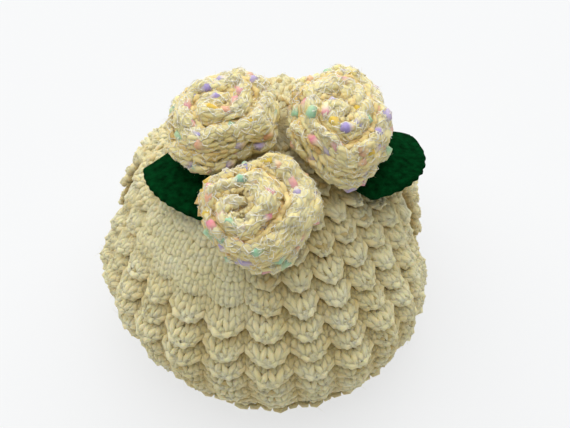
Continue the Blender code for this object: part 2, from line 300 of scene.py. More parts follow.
@dataclass(frozen=True)
class YarnFinish(Finish):
    """Plied yarn: matt fibre with twisted plies, with painted shade that makes it darker and warmer where it
    lies in a recess.
    """

    light: Colour
    shade: Colour
    # colour of the painted shade in recesses and creases
    hollow_shade_colour: Colour
    plies: int = 3
    twist_length: float = 7.0 * MM
    ply_relief: float = 0.14 * MM
    fibre_relief: float = 0.20 * MM
    roughness: float = 0.95
    sheen: float = 0.45
    glow: float = 0.45
    glow_reach: float = 2.2 * MM
    glow_colour: tuple[float, float, float] = (1.0, 0.72, 0.38)
    flecked: bool = False

    def dress(self, board: NodeBoard, shader: bpy.types.Node, place: bpy.types.NodeSocket) -> None:
        """Feeds the shader with the plies, the fibres, the painted shade of the hollows and the flecks."""
        patches = board.span(board.noise(place, 55.0), 0.35, 0.65)
        strands = board.span(board.noise(place, 900.0, 3.0), 0.3, 0.7)
        colour = board.blend(patches, self.light, self.shade)
        fine = board.blend(board.math("MULTIPLY", strands, 0.35), colour, self.shade)
        # Painted shade: the colour goes towards the darker, warmer shade colour where the yarn lies in a recess
        # or a crease.
        depth = board.attribute("hollow_shade", "Fac")
        colour = board.blend(board.math("POWER", depth, 1.6), fine, self.hollow_shade_colour)
        if self.flecked:
            colour = board.blend(board.attribute("fleck", "Fac"), colour, board.attribute("tint", "Color"))
        board.feed(shader.inputs["Base Color"], colour)
        ring = board.attribute("ring", "Vector")
        x, y = (board.put("ShaderNodeSeparateXYZ", {0: ring}, side) for side in "XY")
        around = board.math("ARCTAN2", y, x)
        turns = board.math("MULTIPLY", board.attribute("along", "Fac"), 2 * math.pi / self.twist_length)
        twisted = board.math("SINE", board.math("ADD", board.math("MULTIPLY", around, self.plies), turns))
        ply = board.math("MULTIPLY", board.math("POWER", board.math("ABSOLUTE", twisted), 0.6),
                         self.ply_relief)
        fibre = board.math("MULTIPLY", board.noise(place, 2600.0, 3.0), self.fibre_relief)
        board.relief(shader, board.math("ADD", ply, fibre), 0.8)
        fix(shader, Roughness=self.roughness, Specular_IOR_Level=0.2, Sheen_Weight=self.sheen,
            Sheen_Roughness=0.5, Sheen_Tint=self.light, Subsurface_Weight=self.glow,
            Subsurface_Radius=self.glow_colour, Subsurface_Scale=self.glow_reach)


@dataclass(frozen=True)
class ClothFinish(Finish):
    """The cloth behind the stitches: the purl side of the knitting, read from its own attribute. Its colours are
    a darker, warmer brown than the yarn: painted shade in the holes between the stitches.
    """

    outside: Colour
    inside: Colour
    bump_relief: float = 0.6 * MM

    def dress(self, board: NodeBoard, shader: bpy.types.Node, place: bpy.types.NodeSocket) -> None:
        """Feeds the shader with the purl bumps."""
        stitch = board.attribute("stitch", "Vector")
        x, y = (board.put("ShaderNodeSeparateXYZ", {0: stitch}, side) for side in "XY")
        across = board.math("SINE", board.math("MULTIPLY", x, 2 * math.pi))
        rows = board.math("ADD", y, board.math("MULTIPLY", across, 0.22))
        wave = board.math("SINE", board.math("MULTIPLY", rows, 2 * math.pi))
        bumps = board.span(wave, -1.0, 1.0)
        grain = board.noise(place, 1800.0, 3.0)
        colour = board.blend(bumps, self.outside, self.inside)
        colour = board.blend(board.math("MULTIPLY", grain, 0.4), colour, self.outside)
        board.feed(shader.inputs["Base Color"], colour)
        height = board.math("ADD", board.math("MULTIPLY", bumps, self.bump_relief),
                            board.math("MULTIPLY", grain, 0.2 * MM))
        board.relief(shader, height)
        fix(shader, Roughness=0.95, Specular_IOR_Level=0.15, Sheen_Weight=0.2)


@dataclass(frozen=True)
class GlossFinish(Finish):
    """The thin shiny strand that runs with the flecked yarn."""

    colour: Colour
    paler: Colour = (0.95, 0.92, 0.80, 1.0)

    def dress(self, board: NodeBoard, shader: bpy.types.Node, place: bpy.types.NodeSocket) -> None:
        """Feeds the shader with its two pale hues."""
        hue = board.span(board.noise(place, 420.0, 1.0), 0.35, 0.65)
        board.feed(shader.inputs["Base Color"], board.blend(hue, self.colour, self.paler))
        fix(shader, Roughness=0.28, Specular_IOR_Level=0.6, Coat_Weight=0.3, Coat_Roughness=0.12)


@dataclass(frozen=True)
class FeltFinish(Finish):
    """Pressed wool felt: matted fibre with a soft nap."""

    light: Colour
    dark: Colour
    nap: Colour = (0.02, 0.40, 0.12, 1.0)

    def dress(self, board: NodeBoard, shader: bpy.types.Node, place: bpy.types.NodeSocket) -> None:
        """Feeds the shader with the matted fibres."""
        matting = board.span(board.noise(place, 380.0, 5.0), 0.3, 0.7)
        fibre = board.noise(place, 1900.0, 4.0)
        colour = board.blend(matting, self.dark, self.light)
        colour = board.blend(board.math("MULTIPLY", fibre, 0.5), colour, self.dark)
        board.feed(shader.inputs["Base Color"], colour)
        height = board.math("ADD", board.math("MULTIPLY", matting, 0.25 * MM),
                            board.math("MULTIPLY", fibre, 0.45 * MM))
        board.relief(shader, height)
        fix(shader, Roughness=0.97, Specular_IOR_Level=0.02, Sheen_Weight=0.04,
            Sheen_Roughness=0.6, Sheen_Tint=self.nap)


# Yarn


@dataclass
class YarnLine:
    """One length of yarn: its middle line, with what each of its points says."""

    points: np.ndarray
    thick: np.ndarray
    # how much painted shade each point gets, for lying in a recess or a crease
    hollow_shade: np.ndarray
    fleck: np.ndarray | None = None
    tint: np.ndarray | None = None

    def layers(self) -> list[np.ndarray]:
        """What its points say, one array to a layer, without the layers that it lacks."""
        every = (self.points, self.thick, self.hollow_shade, self.fleck, self.tint)
        return [layer for layer in every if layer is not None]

    def turned(self) -> "YarnLine":
        """The same yarn run the other way."""
        return YarnLine(*(layer[::-1] for layer in self.layers()))


def joined(lines: Sequence[YarnLine]) -> YarnLine:
    """Joins rows end to end into one yarn, turning every second one round."""
    order = [line.turned() if i % 2 else line for i, line in enumerate(lines)]
    return YarnLine(*(np.concatenate(layers) for layers in zip(*(line.layers() for line in order))))


@dataclass(frozen=True)
class Unevenness:
    """How far hand-made stitches stray from even ones."""

    place: float
    reach: float
    lift: float
    thick: float


class YarnSpinner:
    """Turns lines of points into round yarn, with one node tree for all of them."""

    LAYERS = (
        # name, data type, field of the data
        ("thick", "FLOAT", "value"),
        # the share of painted shade at each point
        ("hollow_shade", "FLOAT", "value"),
        ("fleck", "FLOAT", "value"),
        ("tint", "FLOAT_COLOR", "color"),
    )

    def __init__(self) -> None:
        """Builds the tree."""
        self.tree = bpy.data.node_groups.new("round_yarn", "GeometryNodeTree")
        self.sockets = {
            "lines": self.socket("Lines", Socket.SHAPE),
            "radius": self.socket("Yarn radius", Socket.LENGTH),
            "sides": self.socket("Sides", Socket.COUNT),
            "finish": self.socket("Finish", Socket.FINISH),
        }
        self.tree.interface.new_socket("Yarn", in_out="OUTPUT", socket_type=Socket.SHAPE.value)
        self.wire()

    def socket(self, name: str, kind: Socket) -> str:
        """Adds a named input to the tree and returns its identifier."""
        made = self.tree.interface.new_socket(name, in_out="INPUT", socket_type=kind.value)
        return made.identifier

    def stored(self, board: NodeBoard, shape: object, name: str, kind: str, value: object) -> object:
        """Keeps a value on the points of a shape under a name, and returns the shape."""
        feeds = {"Geometry": shape, "Name": name, "Value": value}
        return board.put("GeometryNodeStoreNamedAttribute", feeds, data_type=kind, domain="POINT")

    def wire(self) -> None:
        """Joins up the tree: lines to curves, curves to round yarn, then smooth and finished."""
        board = NodeBoard(self.tree)
        given = board.add("NodeGroupInput")
        lines, radius, sides, finish = (given.outputs[i] for i in range(4))
        curve = board.put("GeometryNodeMeshToCurve", {"Mesh": lines})
        length = board.put("GeometryNodeSplineParameter", {}, "Length")
        run = self.stored(board, curve, "along", "FLOAT", length)
        feeds = {"Resolution": sides, "Radius": radius}
        circle = board.put("GeometryNodeCurvePrimitiveCircle", feeds, mode="RADIUS")
        place = board.put("GeometryNodeInputPosition", {})
        profile = self.stored(board, circle, "ring", "FLOAT_VECTOR", place)
        thick = board.put("GeometryNodeInputNamedAttribute", {"Name": "thick"}, data_type="FLOAT")
        feeds = {"Curve": run, "Profile Curve": profile, "Scale": thick, "Fill Caps": True}
        tube = board.put("GeometryNodeCurveToMesh", feeds)
        smooth = board.put("GeometryNodeSetShadeSmooth", {"Geometry": tube})
        real = board.put("GeometryNodeRealizeInstances", {"Geometry": smooth})
        dressed = board.put("GeometryNodeSetMaterial", {"Geometry": real, "Material": finish})
        board.feed(board.add("NodeGroupOutput").inputs[0], dressed)

    def spin(self, name: str, lines: Iterable[YarnLine], radius: float, sides: int,
             finish: bpy.types.Material) -> bpy.types.Object:
        """Makes one piece of round yarn.

        Args:
            name: The piece's name.
            lines: The yarns in it, round the crown's axis.
            radius: The yarn's radius.
            sides: How many sides it has.
            finish: Its material.

        Returns:
            The piece, as a plain mesh at the origin.
        """
        lines = list(lines)
        data = bpy.data.meshes.new(name + "_lines")
        points = np.vstack([line.points for line in lines]) + MIDDLE
        edges = []
        start = 0
        for line in lines:
            index = np.arange(start, start + len(line.points) - 1)
            edges.append(np.stack([index, index + 1], axis=1))
            start += len(line.points)
        data.from_pydata(points, np.vstack(edges).tolist(), [])
        said = zip(*(line.layers()[1:] for line in lines))
        for (layer_name, kind, field_name), values in zip(self.LAYERS, said):
            layer = data.attributes.new(layer_name, kind, "POINT")
            flat = np.ascontiguousarray(np.concatenate(values), np.float32).ravel()
            layer.data.foreach_set(field_name, flat)
        guide = placed(name + "_guide", data)
        modifier = guide.modifiers.new("yarn", "NODES")
        modifier.node_group = self.tree
        modifier[self.sockets["radius"]] = radius
        modifier[self.sockets["sides"]] = sides
        modifier[self.sockets["finish"]] = finish
        made = frozen(guide, name)
        bpy.data.objects.remove(guide)
        return made


def frozen(source: bpy.types.Object, name: str) -> bpy.types.Object:
    """A plain mesh object of what an object's modifiers make.

    Args:
        source: The object with its modifiers.
        name: The new object's name.

    Returns:
        The new object, with no modifiers.
    """
    graph = bpy.context.evaluated_depsgraph_get()
    data = bpy.data.meshes.new_from_object(source.evaluated_get(graph), depsgraph=graph)
    data.name = name
    return placed(name, data)


# Panels


@dataclass(frozen=True)
class LoopShape:
    """How the yarn runs in one stitch, in stitch widths and row heights."""

    lean: float = 0.26
    reach: float = 0.76
    relief: float = 1.05 * MM
    points: int = 10
    bluntness: float = 0.7

    def path(self, stitches: int) -> tuple[np.ndarray, ...]:
        """The yarn's run over some stitches.

        Args:
            stitches: How many.

        Returns:
            Place along the row, place across it, relief in front of the cloth, and the share of
            the way from a stitch's foot to its head, at each point.
        """
        phase = np.arange(stitches * self.points + 1) * 2 * math.pi / self.points
        along = phase / (2 * math.pi) + self.lean * np.sin(2 * phase)
        across = -self.reach * np.sign(np.cos(phase)) * np.abs(np.cos(phase)) ** self.bluntness
        front = -np.cos(2 * phase)
        head = (1 - np.cos(phase)) / 2
        return along, across, front, head


@dataclass
class DomeShape:
    """The smooth shape that both panels share: meridian, slots, sunk handle side and twist."""

    rows: tuple[tuple[float, float], ...] = (
        # height, radius
        (0.0 * MM, 77.0 * MM),
        (25.0 * MM, 87.0 * MM),
        (51.0 * MM, 90.0 * MM),
        (71.0 * MM, 82.0 * MM),
        (89.5 * MM, 69.5 * MM),
        (104.0 * MM, 58.5 * MM),
        (117.0 * MM, 43.0 * MM),
        (125.5 * MM, 24.0 * MM),
        (128.5 * MM, 4.0 * MM),
    )
    slots: tuple[tuple[float, float, float, float], ...] = (
        # side, lowest height, highest height, half width
        (-1.0, 28.0 * MM, 92.0 * MM, 19.0 * MM),
        (1.0, 22.0 * MM, 90.0 * MM, 14.0 * MM),
    )
    slot_bluntness: float = 0.6
    slot_ease: float = 68.0 * MM
    seam_gap: float = 0.3 * MM
    flatter: float = 0.058
    round_again: tuple[float, float] = (98.0 * MM, 117.0 * MM)
    sink: float = 8.0 * MM
    sink_heights: tuple[float, float] = (14.0 * MM, 98.0 * MM)
    sink_reach: float = 36.0 * MM
    twist: float = math.radians(4.5)
    twist_below: float = 92.0 * MM

    line_steps: int = 24

    def __post_init__(self) -> None:
        """Works out the meridian once."""
        self.line = smooth_line(self.rows, self.line_steps)
        self.lengths = lengths_along(self.line)
        self.length = float(self.lengths[-1])

    def along(self, s: np.ndarray) -> tuple[np.ndarray, ...]:
        """Reads the meridian.

        Args:
            s: Lengths from the hem.

        Returns:
            Height, radius, and the outward normal's radial and upward shares.
        """
        s = np.clip(s, 0.0, self.length)
        i = np.clip(np.searchsorted(self.lengths, s), 1, len(self.lengths) - 1)
        low, high = self.line[i - 1], self.line[i]
        span = self.lengths[i] - self.lengths[i - 1]
        share = (s - self.lengths[i - 1]) / span
        height = low[..., 0] + (high[..., 0] - low[..., 0]) * share
        radius = low[..., 1] + (high[..., 1] - low[..., 1]) * share
        return height, radius, (high[..., 0] - low[..., 0]) / span, (low[..., 1] - high[..., 1]) / span

    def height_over(self, radius: np.ndarray) -> np.ndarray:
        """Height of the crest line over a radius of the upper half."""
        widest = int(np.argmax(self.line[:, 1]))
        upper = self.line[widest:][::-1]
        return np.interp(radius, upper[:, 1], upper[:, 0])

    def drawn_back(self, side: np.ndarray, height: np.ndarray) -> np.ndarray:
        """How far a panel's edge draws back from the seam, at a height, on one side."""
        half = np.zeros(np.shape(height))
        for slot_side, low, high, reach in self.slots:
            share = np.clip((height - low) / (high - low), 0.0, 1.0)
            opening = reach * np.sin(math.pi * share) ** self.slot_bluntness
            half = np.where(side == slot_side, np.maximum(half, opening), half)
        return half

    def place(self, angle: np.ndarray, height: np.ndarray, radius: np.ndarray,
              facing: Facing) -> np.ndarray:
        """Points of a panel.

        Args:
            angle: Angles from the handle side.
            height: Heights over the table.
            radius: Distances from the crown's axis.
            facing: Which panel.

        Returns:
            The points, round the crown's axis.
        """
        away = radius * np.sin(angle)
        side = np.where(np.cos(angle) >= 0, 1.0, -1.0)
        drawn = away + self.drawn_back(side, height) * np.clip(1 - away / self.slot_ease, 0, None) ** 2
        away = np.where(drawn < radius, drawn, away)
        x = side * np.sqrt(np.clip(radius ** 2 - away ** 2, 0, None))
        flat = self.flatter * (1 - eased(*self.round_again, height))
        low, high = self.sink_heights
        share = np.clip((height - low) / (high - low), 0.0, 1.0)
        sunk = self.sink * np.sin(math.pi * share) ** 2 * np.exp(-(away / self.sink_reach) ** 2)
        handle_side = x * (1 - flat * (x / radius) ** 4) - sunk * x / radius
        x = np.where(x > 0, handle_side, x)
        y = facing.value * (away + self.seam_gap / 2)
        turn = self.twist * np.clip(1 - height / self.twist_below, 0, None)
        cos, sin = np.cos(turn), np.sin(turn)
        return np.stack([x * cos - y * sin, x * sin + y * cos, height], axis=-1)


@dataclass
class Panel:
    """One knitted half of the cosy: its pleats, its tiers and every row of its stitches."""

    dome: DomeShape
    facing: Facing
    seed: int
    pull: float
    fibres: int
    pleats: int = 13
    tiers: int = 15
    rows_to_tier: int = 4
    droop: float = 3.6 * MM
    yarn_radius: float = 1.58 * MM
    yarn_sides: int = 5
    cloth_under: float = 3.9 * MM
    cloth_thick: float = 1.2 * MM
    cloth_relief: float = 0.7
    hem_share: float = 0.85
    loop: LoopShape = field(default_factory=LoopShape)
    depths: tuple[tuple[float, float], ...] = (
        # share of the meridian, depth from crest to gutter
        (0.0, 5.5 * MM),
        (0.35, 7.0 * MM),
        (0.7, 6.0 * MM),
        (1.0, 2.5 * MM),
    )
    tier_curve: tuple[tuple[float, float], ...] = (
        # place up the tier, share of its full bulge: a roll that hangs over the tier below
        (0.20, 0.12),
        (-0.02, 0.55),
        (-0.04, 0.93),
        (0.16, 1.10),
        (0.48, 0.90),
        (0.88, 0.46),
        (1.20, 0.12),
    )
    hidden_fold: float = 0.08
    gutter_closing: float = 0.75
    roundness: float = 0.72
    stitches_to_pleat: tuple[tuple[int, int], ...] = ((0, 4), (9, 3), (12, 2))
    smooth_share: float = 0.97
    smooth_tiers: tuple[float, float] = (0.45, 0.60)
    smooth_angles: tuple[float, float] = (math.radians(80.0), math.radians(100.0))
    smooth_ends: tuple[float, float] = (math.radians(138.0), math.radians(158.0))
    smooth_end_share: float = 0.75
    smooth_roll: float = 0.9
    smooth_lift: float = 0.2
    crest_bluntness: float = 0.5
    gutter_sway: float = 0.07
    bulges: tuple[float, float] = (0.82, 1.10)
    most_bulge: float = 1.15
    lift: float = 1.1 * MM
    passing_on: tuple[float, float] = (0.7, 1.0)
    uneven: Unevenness = Unevenness(0.045, 0.08, 0.22 * MM, 0.05)
    cloth_columns: int = 6
    cloth_levels: int = 3
    cloth_stitches: int = 5

    def __post_init__(self) -> None:
        """Draws the pleats' own unevenness, and works out the even spacing of the stitches."""
        chance = random.Random(self.seed)
        self.pitch = self.dome.length / self.tiers
        step = math.pi / self.pleats
        gutters = [
            step * (i + chance.uniform(-self.gutter_sway, self.gutter_sway) - self.pull * math.sin(step * i))
            for i in range(self.pleats + 1)
        ]
        gutters[0], gutters[-1] = 0.0, math.pi
        self.gutters = np.array(gutters)
        cells = range(self.tiers + 1)
        pleats = range(self.pleats)
        self.bulge_of = np.array([[chance.uniform(*self.bulges) for _ in cells] for _ in pleats])
        self.lift_of = np.array([[chance.uniform(-self.lift, self.lift) for _ in cells] for _ in pleats])
        curve = smooth_line(self.tier_curve, 12)
        depth = self.depths[1][1]
        self.tier_u = lengths_along(curve * (self.pitch, depth))
        self.tier_u /= self.tier_u[-1]
        self.tier_s, self.tier_share = curve[:, 0], curve[:, 1]
        t = np.linspace(0.0, 1.0, 81)
        width = self.pitch * 1.6
        arc = lengths_along(np.stack([t * width, self.crest(t) * depth], axis=1))
        self.even_t, self.even_arc = t, arc / arc[-1]

    def crest(self, t: np.ndarray) -> np.ndarray:
        """Share of the full bulge across a pleat."""
        return np.sin(math.pi * np.clip(t, 0.0, 1.0)) ** self.crest_bluntness

    def smoothness(self, angle: np.ndarray, s: np.ndarray) -> np.ndarray:
        """How far the pleats flatten out, on the front panel's upper tiers."""
        if self.facing is Facing.BACK:
            return np.zeros(np.shape(s))
        across = eased(*self.smooth_angles, angle)
        across = across * (1 - self.smooth_end_share * eased(*self.smooth_ends, angle))
        return eased(*self.smooth_tiers, s / self.dome.length) * across

    def read(self, a: np.ndarray, b: np.ndarray, relief: float = 1.0) -> tuple[np.ndarray, ...]:
        """Reads the panel's outside.

        Args:
            a: Places across the panel, in pleats from the handle side.
            b: Places up the panel, in tiers from the hem.
            relief: How much of the roll of each tier is kept.

        Returns:
            Angle, length from the hem, depth under the crest line, and how far the place lies in a recess, which
            sets the painted shade of the yarn there.
        """
        a = np.clip(a, 0.0, self.pleats - 1e-6)
        b = np.clip(b, 0.0, self.tiers - 1e-6)
        pleat, tier = a.astype(int), b.astype(int)
        t, u = a - pleat, b - tier
        crest, swell = self.crest(t), np.sin(math.pi * np.clip(t, 0.0, 1.0)) ** self.roundness
        angle = self.gutters[pleat] + (self.gutters[pleat + 1] - self.gutters[pleat]) * t
        smooth = self.smoothness(angle, (tier + u) * self.pitch)
        rolled = relief * (1 - self.smooth_roll * smooth)
        even = self.tier_s[0] + u
        place = even + (np.interp(u, self.tier_u, self.tier_s) - even) * crest * rolled
        mean = float(np.mean(self.tier_share)) + self.smooth_lift * smooth
        ridge = mean + (np.interp(u, self.tier_u, self.tier_share) - mean) * rolled
        onward = eased(*self.passing_on, u)
        bulge, lift = (
            cells[pleat, tier] * (1 - onward) + cells[pleat, tier + 1] * onward
            for cells in (self.bulge_of, self.lift_of)
        )
        nominal = (tier + place) * self.pitch
        hem = np.clip(nominal / self.pitch, 0.0, 1.0)
        crown = np.clip((self.dome.length - nominal) / self.pitch, 0.0, 1.0)
        s = nominal - (self.droop - lift) * swell * hem * crown
        ridge = self.hem_share + (ridge - self.hem_share) * eased(0.0, 0.5, b)
        share = np.clip(crest * ridge * bulge, 0.0, self.most_bulge)
        pleated = 1 - self.smooth_share * self.smoothness(angle, s)
        deepest = read_table(self.depths, s / self.dome.length) * pleated
        # The last value is how far the place lies in a recess: the share of painted shade.
        return angle, s, deepest * (1 - share), np.clip(1 - share, 0.0, 1.0) * pleated

    def surface(self, a: np.ndarray, b: np.ndarray, under: float = 0.0, relief: float = 1.0) -> np.ndarray:
        """Points of the panel's outside, or a set depth under it."""
        angle, s, depth, _ = self.read(a, b, relief)
        height, radius, radial, upward = self.dome.along(s)
        depth = depth + under
        return self.dome.place(angle, height - upward * depth, radius - radial * depth, self.facing)

    def outward(self, a: np.ndarray, b: np.ndarray) -> np.ndarray:
        """Unit normals of the panel's outside."""
        da, db = 0.05, 0.04
        across = self.surface(a + da, b) - self.surface(a - da, b)
        along = self.surface(a, b + db) - self.surface(a, b - db)
        return unit(np.cross(across, along) * self.facing.value)

    def stitches(self, tier: int) -> int:
        """Stitches to a pleat at a tier: fewer towards the crown."""
        return [count for first, count in self.stitches_to_pleat if first <= tier][-1]

    def boundary(self, row: int, a: np.ndarray, b: np.ndarray) -> np.ndarray:
        """How a row's heads meet the next row: purl along the roll of each tier, and knit elsewhere."""
        if row < 0 or row % self.rows_to_tier:
            return np.full(np.shape(a), Boundary.KNIT.value)
        angle, s, _, _ = self.read(a, b)
        plain = self.smoothness(angle, s) > 0.5
        return np.where(plain, Boundary.KNIT.value, Boundary.PURL.value)

    def row_of_stitches(self, row: int, chance: np.random.Generator) -> YarnLine:
        """The yarn of one row, from the handle side to the spout side.

        Args:
            row: Which row, counted from the hem.
            chance: Where the stitches' small unevenness comes from.

        Returns:
            The row's yarn.
        """
        to_pleat = self.stitches(row // self.rows_to_tier)
        count = self.pleats * to_pleat
        along, across, front, head = self.loop.path(count)
        stitch = np.minimum(np.arange(len(along)) // self.loop.points, count - 1)
        along = along + chance.normal(0.0, self.uneven.place, count)[stitch]
        across = across * (1 + chance.normal(0.0, self.uneven.reach, count)[stitch])
        place = np.clip(along / to_pleat, 0.01, self.pleats - 0.01)
        pleat = np.floor(place)
        tier, step = divmod(row, self.rows_to_tier)
        fold = self.hidden_fold
        b = tier + fold + (1 - 2 * fold) * (step + 0.5 + across) / self.rows_to_tier
        angle, s, _, _ = self.read(place, b)
        plain = self.smoothness(angle, s)
        a = pleat + np.interp(place - pleat, self.even_arc, self.even_t)
        a = a + (place - a) * plain
        under = self.boundary(row - 1, a, b)
        over = self.boundary(row, a, b)
        drawn = under + (over - under) * head
        lift = self.loop.relief * front * drawn + chance.normal(0.0, self.uneven.lift, count)[stitch]
        closing = 1 - self.gutter_closing * (1 - self.crest(a - np.floor(a))) * (1 - plain)
        middle = (self.yarn_radius + self.loop.relief) * closing
        points = self.surface(a, b) + self.outward(a, b) * (lift - middle)[:, None]
        low = self.yarn_radius + TABLE_CLEARANCE
        points[:, 2] = np.maximum(points[:, 2], low)
        thick = 1 + chance.normal(0.0, self.uneven.thick, len(along))
        # Painted shade: more where the yarn lies in a gutter or under a roll.
        hollow_shade = self.read(a, b)[3]
        return YarnLine(points, thick, hollow_shade)

    def knitting(self, first: int, last: int, chance: np.random.Generator) -> YarnLine:
        """The rows of some tiers as one yarn, worked back and forth.

        Args:
            first: The lowest tier.
            last: The tier above the highest one.
            chance: Where the stitches' small unevenness comes from.

        Returns:
            The yarn.
        """
        rows = range(first * self.rows_to_tier, last * self.rows_to_tier)
        return joined([self.row_of_stitches(row, chance) for row in rows])

    def cloth(self, name: str, finish: bpy.types.Material) -> bpy.types.Object:
        """The cloth that backs the stitches, closed round its edges.

        Args:
            name: The piece's name.
            finish: Its material.

        Returns:
            The piece.
        """
        columns = np.linspace(0.0, self.pleats, self.pleats * self.cloth_columns + 1)
        levels = np.linspace(0.0, self.tiers, self.tiers * self.cloth_levels + 1)
        a, b = np.meshgrid(columns, levels)
        outer = self.surface(a, b, self.cloth_under, self.cloth_relief)
        inner = self.surface(a, b, self.cloth_under + self.cloth_thick, self.cloth_relief)
        for layer in (outer, inner):
            layer[..., 2] = np.maximum(layer[..., 2], TABLE_CLEARANCE)
        stitch = np.stack([a * self.cloth_stitches, b * self.rows_to_tier, np.zeros_like(a)], axis=-1)
        return closed_sheet(name, outer, inner, stitch, finish)


def closed_sheet(name: str, outer: np.ndarray, inner: np.ndarray, stitch: np.ndarray,
                 finish: bpy.types.Material) -> bpy.types.Object:
    """A closed sheet from two grids of points.

    Args:
        name: The piece's name.
        outer: The grid of its outside, row by row.
        inner: The grid of its inside.
        stitch: What the pattern reads at each place of the grid.
        finish: Its material.

    Returns:
        The piece, facing outwards.
    """
    rows, columns = outer.shape[:2]
    points = np.vstack([outer.reshape(-1, 3), inner.reshape(-1, 3)]) + MIDDLE
    index = np.arange(rows * columns).reshape(rows, columns)
    low, high = index[:-1, :-1].ravel(), index[1:, :-1].ravel()
    low_next, high_next = index[:-1, 1:].ravel(), index[1:, 1:].ravel()
    faces = np.stack([low, low_next, high_next, high], axis=1).tolist()
    back = rows * columns
    faces += (np.stack([high, high_next, low_next, low], axis=1) + back).tolist()
    border = [*index[0, :], *index[1:, -1], *index[-1, -2::-1], *index[-2:0:-1, 0]]
    for here, there in zip(border, [*border[1:], border[0]]):
        faces.append([here, here + back, there + back, there])
    data = bpy.data.meshes.new(name)
    data.from_pydata(points, [], faces)
    layer = data.attributes.new("stitch", "FLOAT_VECTOR", "POINT")
    both = np.vstack([stitch.reshape(-1, 3)] * 2).astype(np.float32)
    layer.data.foreach_set("vector", both.ravel())
    mesh = bmesh.new()
    mesh.from_mesh(data)
    return closed(data, mesh, finish)


# Leaves


@dataclass
class Leaf:
    """A felt leaf: its root under a flower, its tip clear of the knitting."""

    dome: DomeShape
    root_x: float
    root_y: float
    tip_x: float
    tip_y: float
    tip_height: float
    width: float
    tip_cut: float
    felt: float = 2.0 * MM
    gap: float = 0.5 * MM
    arch: float = 3.5 * MM
    arch_share: float = 1.05
    root_cut: float = 0.12
    long_steps: int = 60
    wide_steps: int = 24
    least_half: float = 0.8 * MM
    fullest: float = 1.05
    bluntness: float = 0.62
    snip_depth: float = 0.022
    snips: float = 9.5
    wave: float = 0.5 * MM
    cup: float = 0.1 * MM
    rounding: float = 0.5 * MM
    rounded_share: float = 0.1

    def __post_init__(self) -> None:
        """Works out the leaf's own directions."""
        root_height = float(self.dome.height_over(math.hypot(self.root_x, self.root_y))) + self.gap
        self.root = np.array((self.root_x, self.root_y, root_height))
        plan = np.array((self.tip_x - self.root_x, self.tip_y - self.root_y))
        self.plan_length = float(np.linalg.norm(plan))
        self.along = plan / self.plan_length
        self.side = np.array((-self.along[1], self.along[0]))

    def half_width(self, share: np.ndarray) -> np.ndarray:
        """Half the leaf's width at a share of its length."""
        share = self.root_cut + (1 - self.root_cut - self.tip_cut) * np.clip(share, 0.0, 1.0)
        return self.width / 2 * np.sin(math.pi * share ** self.fullest) ** self.bluntness

    def flat(self) -> tuple[float, float, float]:
        """Width, length and area of the felt as it is cut, before it arches."""
        length = self.plan_length * self.arch_share
        mean_width = 2 * float(np.mean(self.half_width(np.linspace(0.0, 1.0, self.long_steps + 1))))
        return self.width, length, mean_width * length

    def height(self, x: np.ndarray, y: np.ndarray) -> np.ndarray:
        """Height of the leaf's underside over the plan."""
        share = ((x - self.root_x) * self.along[0] + (y - self.root_y) * self.along[1]) / self.plan_length
        straight = self.root[2] + (self.tip_height - self.root[2]) * share
        straight = straight + 4 * share * (1 - share) * self.arch
        knit = self.dome.height_over(np.hypot(x, y)) + self.gap
        return np.maximum(straight, knit)

    def covers(self, x: np.ndarray, y: np.ndarray, margin: float) -> np.ndarray:
        """Whether the leaf, grown by a margin, lies over a place of the plan."""
        along = (x - self.root_x) * self.along[0] + (y - self.root_y) * self.along[1]
        aside = (x - self.root_x) * self.side[0] + (y - self.root_y) * self.side[1]
        share, spare = along / self.plan_length, margin / self.plan_length
        within = (share >= -spare) & (share <= 1 + spare)
        return within & (np.abs(aside) <= self.half_width(share) + margin)

    def build(self, name: str, finish: bpy.types.Material) -> bpy.types.Object:
        """The leaf's felt.

        Args:
            name: The piece's name.
            finish: Its material.

        Returns:
            The piece.
        """
        share = np.linspace(0.0, 1.0, self.long_steps + 1)
        across = np.linspace(-1.0, 1.0, self.wide_steps + 1)
        grid_share, grid_across = np.meshgrid(share, across, indexing="ij")
        snip = 1 + self.snip_depth * np.sin(grid_share * 2 * math.pi * self.snips) * np.abs(grid_across) ** 6
        reach = np.maximum(self.half_width(grid_share), self.least_half) * snip
        x = self.root_x + self.along[0] * self.plan_length * grid_share + self.side[0] * reach * grid_across
        y = self.root_y + self.along[1] * self.plan_length * grid_share + self.side[1] * reach * grid_across
        low = self.height(x, y)
        wave = self.wave * np.sin(grid_share * 9.0 + 2 * grid_across) * np.abs(grid_across) ** 2 * grid_share
        cup = self.cup * np.cos(math.pi * grid_across)
        inwards = (np.abs(grid_across) - 1 + self.rounded_share) / self.rounded_share
        edge = self.rounding * np.clip(inwards, 0, 1) ** 2
        under = np.stack([x, y, low + np.abs(wave) + edge], axis=-1)
        over = np.stack([x, y, low + np.abs(wave) + self.felt + cup - edge], axis=-1)
        stitch = np.stack([grid_share, grid_across, np.zeros_like(x)], axis=-1)
        return closed_sheet(name, over, under, stitch, finish)


# Flowers


